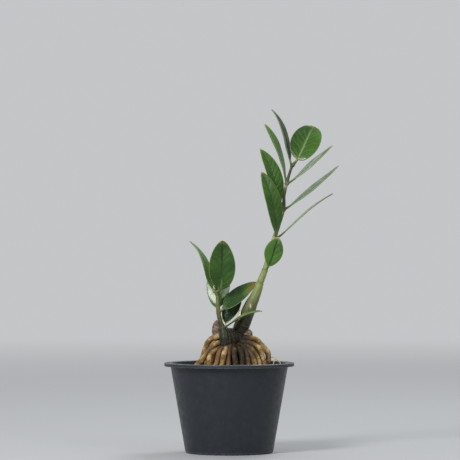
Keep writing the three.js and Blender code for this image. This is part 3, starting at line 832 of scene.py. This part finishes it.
def build_leaflet(name, stem, form, order, material):
    _, out, _, foot = seat_of(stem, form)
    tip = np.array(form["tip"], float)
    span = np.linalg.norm(tip - foot)
    face = across_from(np.array(form["face"], float), unit(tip - foot))
    leave = foot + BLADE_LEAVE * span * out
    near = foot + BLADE_BEND * (tip - foot) + BLADE_ARCH * form["arch"] * span * face
    t = np.linspace(0, 1, BLADE_SAMPLES)[:, None]
    curve = (1 - t) ** 3 * foot + 3 * (1 - t) ** 2 * t * leave + 3 * (1 - t) * t ** 2 * near + t ** 3 * tip
    run = lengths(curve)
    share = blade_shares()
    middle = read_off(share * run[-1], run, curve)
    along = unit(read_off(share * run[-1], run, tangents(curve)))
    up = across_from(np.broadcast_to(face, middle.shape), along)
    turn = (np.radians(form["roll"]) * (share - 0.5))[:, None]
    up = up * np.cos(turn) + np.cross(along, up) * np.sin(turn)
    side = np.cross(along, up)

    # v runs across the blade, s along it, and x is v in millimetres
    v = blade_columns()[None, :]
    s = share[:, None]
    half = half_width(form, share)[:, None]
    stalk = held(1 - s / (2.4 * STALK_SHARE))
    blade = 1 - stalk
    x = half * v
    rise = half * form["fold"] * (np.sqrt(v ** 2 + 0.0036) - 0.06) * blade
    rise = rise + half * form["wave"] * np.sin(7.5 * s + 2 * v) * v ** 2

    heart_thick = BLADE_THICK + (2 * STALK_RADIUS - BLADE_THICK) * stalk
    thick = heart_thick + (MARGIN_THICK - heart_thick) * v ** 2
    edge = np.minimum(half, MARGIN_ROUND)
    into_edge = held((np.abs(x) - (half - edge)) / edge)
    thick = thick * np.sqrt(1 - into_edge ** 2)
    thick = thick * blade + heart_thick * np.sqrt(held(1 - v ** 2)) * stalk

    flat = np.stack([s * span + 0 * v, x, 0 * x + 31 * order], -1).reshape(-1, 3)

    def rough(size, seed):
        return crumble(flat, size, 2, seed).reshape(x.shape)

    sweep = VEIN_SWEEP * form["width"] / 2 / span
    pair = span / VEIN_PITCH * (s - sweep * np.abs(v) ** 0.85) + 0.5 * (v < 0)
    pair = pair + VEIN_JITTER * rough(15, 18)
    off_vein = np.abs(pair - np.round(pair))
    calm = blade * held(4 * (1 - s)) * (1 - np.abs(v) ** 5)
    vein = band(off_vein, VEIN_HALF) * calm
    puff = np.sin(np.pi * off_vein) ** 2 * calm
    groove = band(x, RIB_GROOVE_HALF) * blade * (1 - s ** 5)
    midrib = band(x, RIB_COLOUR_HALF) * blade * (1 - s ** 8)
    keel = band(x, KEEL_HALF) * blade * (1 - 0.6 * s)
    sway = (0.45 * rough(17, 0) + 0.1 * rough(5, 1)) * blade * held(5 * (1 - s))
    sway = sway * (0.4 + 0.6 * form["relief"])
    fields = form["relief"] * (FIELD_PUFF * puff - VEIN_DEPTH * vein)
    upper_rise = rise + sway + thick / 2 - RIB_GROOVE * groove + fields
    lower_rise = rise + sway - thick / 2 - KEEL * keel + 0.08 * puff
    at_margin = np.abs(v) > 0.9999
    upper_rise = np.where(at_margin, (upper_rise + lower_rise) / 2, upper_rise)

    flat_points = middle[:, None] + side[:, None] * x[..., None]
    top = flat_points + up[:, None] * upper_rise[..., None]
    bottom = flat_points + up[:, None] * lower_rise[..., None]
    rings = np.concatenate([top, bottom[:, -2:0:-1]], 1)
    rings[0] -= 3 * GAP * out

    def around(values, values_below=None):
        """Values for the upper side, and others for the lower side if given, in the rings' order."""
        below = values if values_below is None else values_below
        above, below = [np.broadcast_to(given, x.shape) for given in (values, below)]
        return np.concatenate([above, below[:, -2:0:-1]], 1).ravel()

    reach = form["ageing"]
    old = held((s * (1 + 0.6 * reach * v) - (1 - 1.25 * reach)) / max(reach, 0.01))
    rib = form["rib"][0] + (form["rib"][1] - form["rib"][0]) * held(1.5 * s - 0.2)
    attributes = {
        "vein": around(form["veins"] * vein, 0.4 * vein),
        "rib": around(rib * midrib, 0.25 * keel),
        "upper": around(np.where(at_margin, 0.5, 1), 0),
        "margin": around(band(half - np.abs(x), 0.42) * blade),
        "stalk": around(held(stalk * 1.4)),
        "point": around(0.85 * band((1 - s) * span, TIP_REACH)),
        "ageing": around(old * (reach > 0)),
        "tone": around(form["tone"] + form["lean"] * v),
        "gloss": around(form["gloss"], 0),
    }
    piece = new_object(f"fine_{name}", *ring_skin(rings), attributes)
    dress(piece, material, "leaf_blade", name)


def build_stem(name, stem, leaflets, nodes, voxel, material):
    parts = [rod(stem.line[::4], stem.radii[::4], STEM_SIDES)]
    for form in leaflets.values():
        heart, out, end, _ = seat_of(stem, form)
        stub = heart + np.linspace(0, 1, len(STUB_FLARE))[:, None] * (end + 0.4 * GAP * out - heart)
        parts.append(rod(stub, STUB_RADIUS * np.array(STUB_FLARE), STUB_SIDES))
    points, faces, normals = fuse(parts, voxel, 6)
    index, away = nearest_on(points, stem.line)
    height = stem.line[index, 2]
    on_stub = held((away - stem.radii[index] * 1.08 - 0.2) / 0.8)
    ring = np.zeros(len(points))
    relief = np.zeros(len(points))
    knot = np.zeros(len(points))
    for node in nodes:
        off = height - node + 0.5 * np.sin(3 * np.arctan2(points[:, 1], points[:, 0]) + node)
        ring += band(off, 0.5)
        knot = np.maximum(knot, band(off + 3.4, 3) * (node > PALE_NODES))
        relief += 0.3 * band(off + 0.7, 0.7) - 0.25 * band(off - 0.15, 0.4)
    beside = points - stem.line[index]
    turn = np.arctan2(beside[:, 1], beside[:, 0])
    ridge = np.cos(STEM_RIDGES * turn + 1.5 * crumble(points * [1, 1, 0.15], 6, 2, 2))
    relief += 0.05 * ridge * (stem.radii[index] > RIDGES_ABOVE)
    relief += 0.14 * crumble(points * [1, 1, 0.5], 4, 3, 3)
    relief += 0.05 * crumble(points, 1.1, 2, 4)
    scar_x = (points[:, 0] - SCAR[0]) / SCAR_HALF[0]
    scar_z = (points[:, 2] - SCAR[1]) / SCAR_HALF[1]
    scar = np.exp(-(scar_x ** 2 + scar_z ** 2) ** 1.5) * (normals[:, 1] < 0)
    relief -= 0.15 * scar
    points = points + normals * (relief * (1 - on_stub))[:, None]
    low, high = stem.line[0, 2], stem.line[-1, 2]
    attributes = {
        "level": (height - low) / (high - low),
        "ring": held(ring) * (1 - on_stub),
        "scar": scar,
        "node": knot * held(0.8 + crumble(points, 3, 2, 17)),
        "stub": on_stub,
    }
    piece = new_object(f"fine_{name}", points, faces, attributes)
    dress(piece, material, "stem_skin", name)


# The dry scale leaf at the foot of the tall stem, and the papery edge on the short one

def build_scale(name, stem, foot, top, facing, spread, clear, material, *nodes):
    """A dry scale from one height to another, bent round a stem on the side that it faces."""
    heights = np.linspace(foot, top, SCALE_ROWS + 1)
    heart, _, radius = stem.at(heights)
    share = ((heights - foot) / (top - foot))[:, None]
    across = np.linspace(-1, 1, SCALE_COLUMNS + 1)
    open_by = spread * (1 - share) ** 0.22 + 0.1 * (1 - share ** 6)
    turn = facing + open_by * across + 0.12 * np.sin(5 * share)
    away = radius[:, None] + clear + 0.9 * share ** 2 + 0.35 * across ** 2
    away = away + 0.2 * np.sin(9 * share + 3 * across)
    ragged = 0.5 * np.sin(7 * across) * share
    outer, inner = [heart[:, None] + circle(away + skin, ragged, turn) for skin in (0.5, 0.1)]
    rings = np.concatenate([outer, inner[:, ::-1]], 1)
    # the dark lower part: partly an old sheath base, partly painted shade
    worn = held((0.58 - share) / 0.15) + np.zeros(rings.shape[:2])
    piece = new_object(name, *ring_skin(rings), {"worn": worn})
    dress(piece, material, "dry_scale", *nodes)


# Rhizome and roots

def root_looks(count, **looks):
    """A value for each point and each of the looks of a root, 0 where none is given."""
    return {key: looks.get(key, 0) + np.zeros(count) for key in ROOT_LOOKS}


def root_line(root, random):
    start, via, enter, _ = root
    arch = smooth_line([start, *via, [*enter, SOIL_TOP + 6]], 90)
    down = np.linspace(SOIL_TOP + 5.4, SOIL_TOP - ROOT_DEPTH, 20)
    line = np.vstack([arch, [[*enter, z] for z in down]])
    run = lengths(line)
    phase = random.uniform(0, 6, 3)
    wander = np.sin(run[:, None] / WANDER + phase)
    ease = held(run / 6) * held((run[-1] - run - 12) / 8)
    return line + 0.45 * wander * ease[:, None]


def within(points, lumps):
    """1 for points on or in any of the lumps, fading to 0 just outside them."""
    inside = np.zeros(len(points))
    for middle, half in lumps:
        reach = np.linalg.norm((points - middle) / (np.array(half) + 0.5), axis=1)
        inside = np.maximum(inside, held((1.12 - reach) / 0.14))
    return inside


def root_skin(line, radii, order, redness, others):
    """One root as a fine rod with ring wrinkles, darkened with painted shade where it lies close to the
    others.
    """
    points, faces, out = rod(line, radii, ROOT_SIDES)
    run = np.repeat(lengths(line), ROOT_SIDES)
    phase = run + 37 * order + 0.9 * crumble(points, 3.5, 2, 5)
    wrinkle = np.abs(np.sin(np.pi * phase / ROOT_RING_PITCH)) ** 0.6
    strength = np.clip(0.7 + 0.9 * crumble(points, 6, 1, 6), 0.1, 1.3)
    relief = 0.3 * (wrinkle - 0.7) * strength
    relief += 0.3 * crumble(points, 5, 2, 7) + 0.16 * crumble(points, 2.2, 3, 8)
    relief += 0.06 * crumble(points, 0.9, 2, 9)
    close = nearest_on(points, others)[1] - ROOT_THICK
    under = np.exp(-((points[:, 0] - 10.5) / 11.5) ** 4) * np.clip((points[:, 2] - 83) / 7, 0.3, 1)
    near_crown = held((points[:, 2] - 104) / 6) * held((16 - np.abs(points[:, 0] - 3)) / 6)
    shade = np.maximum(0.97 * under, 0.88 * near_crown)
    looks = root_looks(
        len(points),
        redness=redness,
        ring=(1 - wrinkle) ** 2 * held(strength),
        cleft=held(1 - (close + 0.1) / CLEFT_REACH) ** 1.2,
        shade=shade * held(1.3 + 0.8 * crumble(points, 4, 2, 16)),
    )
    return points + out * relief[:, None], faces, looks


def lump_skin():
    """The rhizome's lumps as one skin: scale rings round the buds, fibres down the rest, coloured near
    black as painted shade.
    """
    points, faces, normals = fuse([ball(middle, half) for middle, half in RHIZOME_LUMPS], 0.5, 4)
    bud = within(points, BUDS)
    lean = points[:, 2] + 0.25 * points[:, 0] + 0.5 * crumble(points, 6, 2, 13)
    scale_rings = np.abs(np.sin(np.pi * lean / BUD_RING_PITCH)) ** 0.5
    relief = 0.42 * (scale_rings - 0.75) * bud
    relief += 0.5 * crumble(points, 6, 3, 7)
    relief += 0.7 * crumble(points * [1, 1, 0.18], 2.2, 3, 14) * (1 - bud)
    relief += 0.16 * crumble(points, 2.2, 3, 8)
    looks = root_looks(len(points), ring=(1 - scale_rings) ** 2 * bud, crown=1 - bud, bud=bud)
    return points + normals * relief[:, None], faces, looks


def wire_skin(rootlet):
    line = smooth_line(rootlet, 60)
    points, faces, _ = rod(line, ROOTLET_RADIUS * np.linspace(1.1, 0.8, len(line)), 10)
    points = points + 0.12 * crumble(points, 2.5, 2, 15)[:, None]
    return points, faces, root_looks(len(points), wire=1)


def build_rhizome(material):
    random = np.random.default_rng(SEED)
    lines = [root_line(root, random) for root in ROOTS]
    skins = [lump_skin()]
    for order, (line, root) in enumerate(zip(lines, ROOTS)):
        run = lengths(line)
        radii = ROOT_THICK * (1 + 0.16 * np.exp(-run / 5))
        radii = radii * (1 + 0.04 * np.sin(run / 3.1 + random.uniform(0, 6)))
        radii = radii * np.clip((run[-1] - run + 1.5) / 5, 0.35, 1)
        others = np.vstack([other for other in lines if other is not line])
        skins.append(root_skin(line, radii, order, root[3], others))
    skins.extend(wire_skin(rootlet) for rootlet in ROOTLETS)
    points, faces = joined(skins)
    attributes = {key: np.concatenate([skin[2][key] for skin in skins]) for key in ROOT_LOOKS}
    ground = SOIL_TOP + 1.5 + 3 * crumble(points, 5, 3, 10)
    soiled = held((ground + 2 - points[:, 2]) / 5)
    attributes["soiled"] = 0.8 * soiled * (1 - attributes["wire"])
    piece = new_object("fine_rhizome_with_roots", points, faces, attributes)
    dress(piece, material, "root_bark", "rhizome_with_roots")


# Potting mix

def inner_radius(z):
    """The inside of the pot's wall at a height."""
    low = (INNER_BASE, FLOOR_TOP + 1.6)
    high = (MOUTH_RADIUS - 0.1, POT_HEIGHT - 2)
    return low[0] + (high[0] - low[0]) * (z - low[1]) / (high[1] - low[1])


def soil_height(x, y):
    out = np.hypot(x, y) / MOUTH_RADIUS
    mound = SOIL_MOUND * (1 - out ** 2) - SOIL_MOUND / 2
    hollows = np.sin(0.21 * x + 1.1) * np.cos(0.17 * y) + 0.7 * np.sin(0.31 * (x + y))
    return SOIL_TOP + mound + SOIL_RELIEF * hollows


def build_soil(material):
    turns = turns_of(SOIL_SIDES)
    below = [
        circle(4, FLOOR_TOP + 0.1, turns),
        circle(inner_radius(FLOOR_TOP + 1.6) - 1.8, FLOOR_TOP + 0.1, turns),
        circle(inner_radius(FLOOR_TOP + 2) - 0.2, FLOOR_TOP + 2, turns),
        circle(inner_radius(SOIL_TOP - 4) - 0.1, SOIL_TOP - 4, turns),
    ]
    radii = (inner_radius(SOIL_TOP) - 0.1) * np.linspace(1, 0.012, SOIL_RINGS)[:, None]
    top = circle(radii, 0, turns).reshape(-1, 3)
    height = soil_height(top[:, 0], top[:, 1]) + SOIL_CRUMB * crumble(top, 7, 3, 11)
    top[:, 2] = height + 0.75 * SOIL_CRUMB * crumble(top, 2.4, 3, 12)
    rings = np.vstack([*below, top]).reshape(-1, SOIL_SIDES, 3)
    piece = new_object("fine_soil", *ring_skin(rings))
    dress(piece, material, "potting_mix", "soil")


def chip_shapes(random, count, corners, half):
    """Closed shards: hulls of a few random corners."""
    shapes = []
    for _ in range(count):
        shape = bmesh.new()
        for corner in unit(random.normal(size=(corners, 3))) * random.uniform(0.75, 1, (corners, 1)):
            shape.verts.new(corner * half)
        hull = bmesh.ops.convex_hull(shape, input=shape.verts)
        bmesh.ops.delete(shape, geom=list({*hull["geom_interior"], *hull["geom_unused"]}), context="VERTS")
        shape.verts.index_update()
        shapes.append(read_shape(shape))
    return shapes


def turned(random, lie_flat):
    """A random turn; lie_flat near 1 keeps the shape's flat side down."""
    yaw = random.uniform(0, 2 * np.pi)
    pitch, roll = random.normal(0, 1 - lie_flat + 0.05, 2)
    return np.array(Euler((roll, pitch, yaw)).to_matrix())


def scatter(name, seed, count, shapes, sizes, lie_flat, sink, material):
    """Loose bits on the mix, each part way in, as one piece."""
    random = np.random.default_rng(SEED + seed)
    parts = []
    shade = []
    for _ in range(count):
        size = random.uniform(*sizes)
        out = (inner_radius(SOIL_TOP) - 1.2 * size - 0.6) * math.sqrt(random.uniform(0, 1))
        turn = random.uniform(0, 2 * np.pi)
        x, y = out * math.cos(turn), out * math.sin(turn)
        points, faces = shapes[random.integers(len(shapes))]
        placed = points * size @ turned(random, lie_flat).T
        lift = soil_height(x, y) + placed[:, 2].max() * random.uniform(*sink)
        parts.append((placed + [x, y, lift], faces))
        shade.append(np.full(len(points), random.uniform(0, 1)))
    piece = new_object(name, *joined(parts), {"shade": np.concatenate(shade)})
    piece.data.shade_flat()
    dress(piece, material, "potting_mix")


# Pot

def pot_profile():
    """The pot's cross-section as corners (radius, height, how far each is rounded)."""
    under = POT_HEIGHT - WALL
    groove = POT_HEIGHT - GROOVE_DEPTH
    lip = POT_HEIGHT - LIP_DEPTH
    return [
        (2, 0, 0), (14, 0, 0.4), (15, FOOT_RECESS, 0.4), (35, FOOT_RECESS, 0.4), (36, 0, 0.4),
        (BASE_RADIUS - 1.4, 0, 0.6), (BASE_RADIUS, 1.4, 0.8),
        (MOUTH_RADIUS + 1.5, under, 0.5), (RIM_RADIUS - 1.5, under, 0.4), (RIM_RADIUS - 1.5, lip, 0.25),
        (RIM_RADIUS, lip, 0.4), (RIM_RADIUS, POT_HEIGHT, 0.75),
        (GROOVE_OUTER, POT_HEIGHT, 0.3), (GROOVE_OUTER - 0.6, groove, 0.3),
        (GROOVE_INNER + 0.6, groove, 0.3), (GROOVE_INNER, POT_HEIGHT, 0.3),
        (MOUTH_RADIUS, POT_HEIGHT, 0.7), (MOUTH_RADIUS - 0.1, POT_HEIGHT - 2, 0.3),
        (INNER_BASE, FLOOR_TOP + 1.6, 0.8), (INNER_BASE - 1.6, FLOOR_TOP, 0.8), (2, FLOOR_TOP, 0),
    ]


def rounded(corners):
    """The corners as a fine line, each rounded, with a few points along every straight."""
    line = []
    spots = [np.array(c[:2], float) for c in corners]
    for i, (*_, round_by) in enumerate(corners):
        here = spots[i]
        if not round_by:
            line.append(here)
            continue
        sides = [spots[i - 1] - here, spots[i + 1] - here]
        start, stop = [here + unit(side) * min(round_by, 0.45 * np.linalg.norm(side)) for side in sides]
        for t in np.linspace(0, 1, 6):
            line.append((1 - t) ** 2 * start + 2 * t * (1 - t) * here + t ** 2 * stop)
    fine = [line[0]]
    for a, b in zip(line, line[1:]):
        length = np.linalg.norm(b - a)
        if length > 1.2:
            inner = np.linspace(0, 1, max(2, int(length / 4)) + 1)[1:-1]
            fine.extend(a + (b - a) * t for t in (0.25 / length, *inner, 1 - 0.25 / length))
        if length > 1e-6:
            fine.append(b)
    return np.array(fine)


def build_pot(material):
    profile = rounded(pot_profile())
    turns = turns_of(POT_SEGMENTS)
    points, faces = ring_skin(circle(profile[:, :1], profile[:, 1:], turns))
    # listed from the underside outwards, the faces of the rings turn inwards, so they are turned round
    shell = new_object("pot_shell", points, [face[::-1] for face in faces])
    drills = []
    for i in range(DRAIN_HOLES):
        x, y, _ = circle(DRAIN_CIRCLE, 0, 2 * np.pi * (i + 0.5) / DRAIN_HOLES)
        drills.append(rod(np.array([[x, y, -2], [x, y, 2], [x, y, 6]], float), [DRAIN_RADIUS] * 3, 32))
    cutter = new_object("pot_drills", *joined(drills))
    cut = shell.modifiers.new("drain", "BOOLEAN")
    cut.operation = "DIFFERENCE"
    cut.solver = "EXACT"
    cut.object = cutter
    mesh = applied(shell)
    bpy.data.objects.remove(cutter)
    found = triples(mesh.vertices, "co") / MM
    out = np.hypot(found[:, 0], found[:, 1])
    height = found[:, 2]
    edge = np.zeros(len(found))
    for radius, level in (
        (RIM_RADIUS, POT_HEIGHT), (RIM_RADIUS, POT_HEIGHT - LIP_DEPTH), (GROOVE_OUTER, POT_HEIGHT),
        (GROOVE_INNER, POT_HEIGHT), (MOUTH_RADIUS, POT_HEIGHT), (BASE_RADIUS, 1.4),
    ):
        edge = np.maximum(edge, band(np.hypot(out - radius, height - level), 0.55))
    inside = out < inner_radius(height) + 0.4
    stain = inside * held((POT_HEIGHT + 1 - height) / 9)
    piece = place("fine_pot", mesh, {"edge": edge, "stain": stain})
    mesh.set_sharp_from_angle(angle=math.radians(38))
    dress(piece, material, "pot_plastic", "pot")


# The whole plant

leaf = leaf_material()
# The near black foot and the darker stem above the middle are partly its own colour and partly painted
# shade
tall_skin = stem_material(
    "tall_stem_skin",
    (0, (0.011, 0.009, 0.004)), (0.08, (0.02, 0.017, 0.006)), (0.14, (0.055, 0.055, 0.018)),
    (0.2, (0.105, 0.12, 0.04)), (0.3, (0.19, 0.225, 0.07)), (0.42, (0.2, 0.26, 0.09)),
    (0.58, (0.21, 0.25, 0.1)), (0.62, (0.08, 0.1, 0.035)), (0.7, (0.05, 0.065, 0.025)),
    (1, (0.035, 0.045, 0.018)),
)
# The near black foot is partly the stem's own colour and partly painted shade
short_skin = stem_material(
    "short_stem_skin",
    (0, (0.012, 0.012, 0.004)), (0.25, (0.013, 0.014, 0.005)), (0.4, (0.022, 0.022, 0.008)),
    (0.48, (0.06, 0.05, 0.016)), (0.56, (0.13, 0.09, 0.03)), (0.64, (0.1, 0.1, 0.03)),
    (0.85, (0.11, 0.14, 0.04)), (1, (0.08, 0.08, 0.024)),
)
paper = scale_material()
root_bark = root_material()
plastic = pot_material()
mix = soil_material()

tall = Stem(TALL_STATIONS)
short = Stem(SHORT_STATIONS)
build_stem("tall_stem", tall, TALL_LEAFLETS, TALL_NODES, 0.3, tall_skin)
build_stem("short_stem", short, SHORT_LEAFLETS, SHORT_NODES, 0.25, short_skin)
for order, (name, form) in enumerate(TALL_LEAFLETS.items()):
    build_leaflet(f"tall_leaflet_{name}", tall, form, order, leaf)
for order, (name, form) in enumerate(SHORT_LEAFLETS.items(), len(TALL_LEAFLETS)):
    build_leaflet(f"short_leaflet_{name}", short, form, order, leaf)
build_scale("fine_scale_leaf", tall, 125, 142.6, math.pi + 0.42, 0.5, 1.1, paper, "scale_leaf")
build_scale("sheath_edge", short, 117, 133.4, -0.62, 0.2, 0.12, paper)
build_rhizome(root_bark)

build_soil(mix)
shapes_random = np.random.default_rng(SEED + 30)
bark_shapes = chip_shapes(shapes_random, 14, 14, np.array([1, 0.6, 0.28]))
lump_shapes = chip_shapes(shapes_random, 10, 22, np.array([1, 0.85, 0.75]))
bark = crumb_material("bark_chip_skin", (0.035, 0.02, 0.012), (0.17, 0.1, 0.055), 1.5)
grit = crumb_material("mix_crumb_skin", (0.012, 0.008, 0.006), (0.07, 0.045, 0.028), 0.9)
pearl = crumb_material("perlite_skin", (0.5, 0.48, 0.43), (0.78, 0.77, 0.73), 0.8)
scatter("bark_chips", 31, 420, bark_shapes, (1.6, 4.6), 0.75, (-0.25, 0.6), bark)
scatter("mix_crumbs", 32, 2600, lump_shapes, (0.4, 1.5), 0.2, (-0.2, 0.6), grit)
scatter("perlite_grains", 33, 110, lump_shapes, (0.7, 1.7), 0.2, (-0.1, 0.7), pearl)
build_pot(plastic)


# Floor, light and camera

def build_floor():
    """A pale floor that fades into the pale room far from the plant."""
    points = circle(FLOOR_RADIUS, 0, turns_of(FLOOR_SIDES))
    floor = new_object("floor", points, [list(range(FLOOR_SIDES))])
    paint = Paint("floor_skin", 0.8)
    paint.colour = (0.33, 0.34, 0.35)
    spot = paint.add("ShaderNodeVectorMath", {0: paint.place}, operation="LENGTH")
    faded = paint.spread(spot.outputs["Value"], 0.5, 3.5)
    glow = paint.add("ShaderNodeEmission", {"Color": PALE}).outputs[0]
    blend = paint.add("ShaderNodeMixShader", {0: faded, 1: paint.shader.outputs["BSDF"], 2: glow})
    paint.feed(paint.tree.nodes["Material Output"].inputs["Surface"], blend.outputs[0])
    floor.data.materials.append(paint.done())


def add_light(name, place_m, size, power, colour=(1, 1, 1)):
    """A soft light of some width and height, turned to the middle of the plant."""
    light = bpy.data.lights.new(name, "AREA")
    light.shape = "ELLIPSE"
    light.size, light.size_y = size
    light.energy = power
    light.color = colour
    lamp = into_scene(name, light)
    lamp.location = Vector(place_m)
    lamp.rotation_euler = (Vector(LIGHT_AIM) - lamp.location).to_track_quat("-Z", "Y").to_euler()


build_floor()
add_light("key_light", (-0.95, -1.55, 1.38), (0.5, 1.1), 44, (1, 0.985, 0.96))
add_light("top_light", (0.58, 1.0, 1.63), (0.8, 0.8), 16)
add_light("fill_light", (1.06, -1.5, 0.86), (0.5, 0.5), 6, (0.95, 0.98, 1))
add_light("back_light", (-1.25, 2.2, 1.65), (1.7, 1.7), 8)

world = bpy.data.worlds.new("pale_world")
world.use_nodes = True
background = world.node_tree.nodes["Background"]
background.inputs["Color"].default_value = (*PALE, 1)
background.inputs["Strength"].default_value = 1
bpy.context.scene.world = world

camera = into_scene("camera", bpy.data.cameras.new("camera"))
camera.location = (CAMERA_SIDE * MM, -CAMERA_DISTANCE * MM, CAMERA_HEIGHT * MM)
camera.rotation_euler = (math.radians(90), 0, 0)
camera.data.sensor_width = SENSOR_WIDTH
camera.data.lens = SENSOR_WIDTH * CAMERA_DISTANCE / FIELD_WIDTH
camera.data.clip_start = 0.1
camera.data.clip_end = 40
bpy.context.scene.camera = camera
bpy.context.scene.view_settings.view_transform = "Standard"
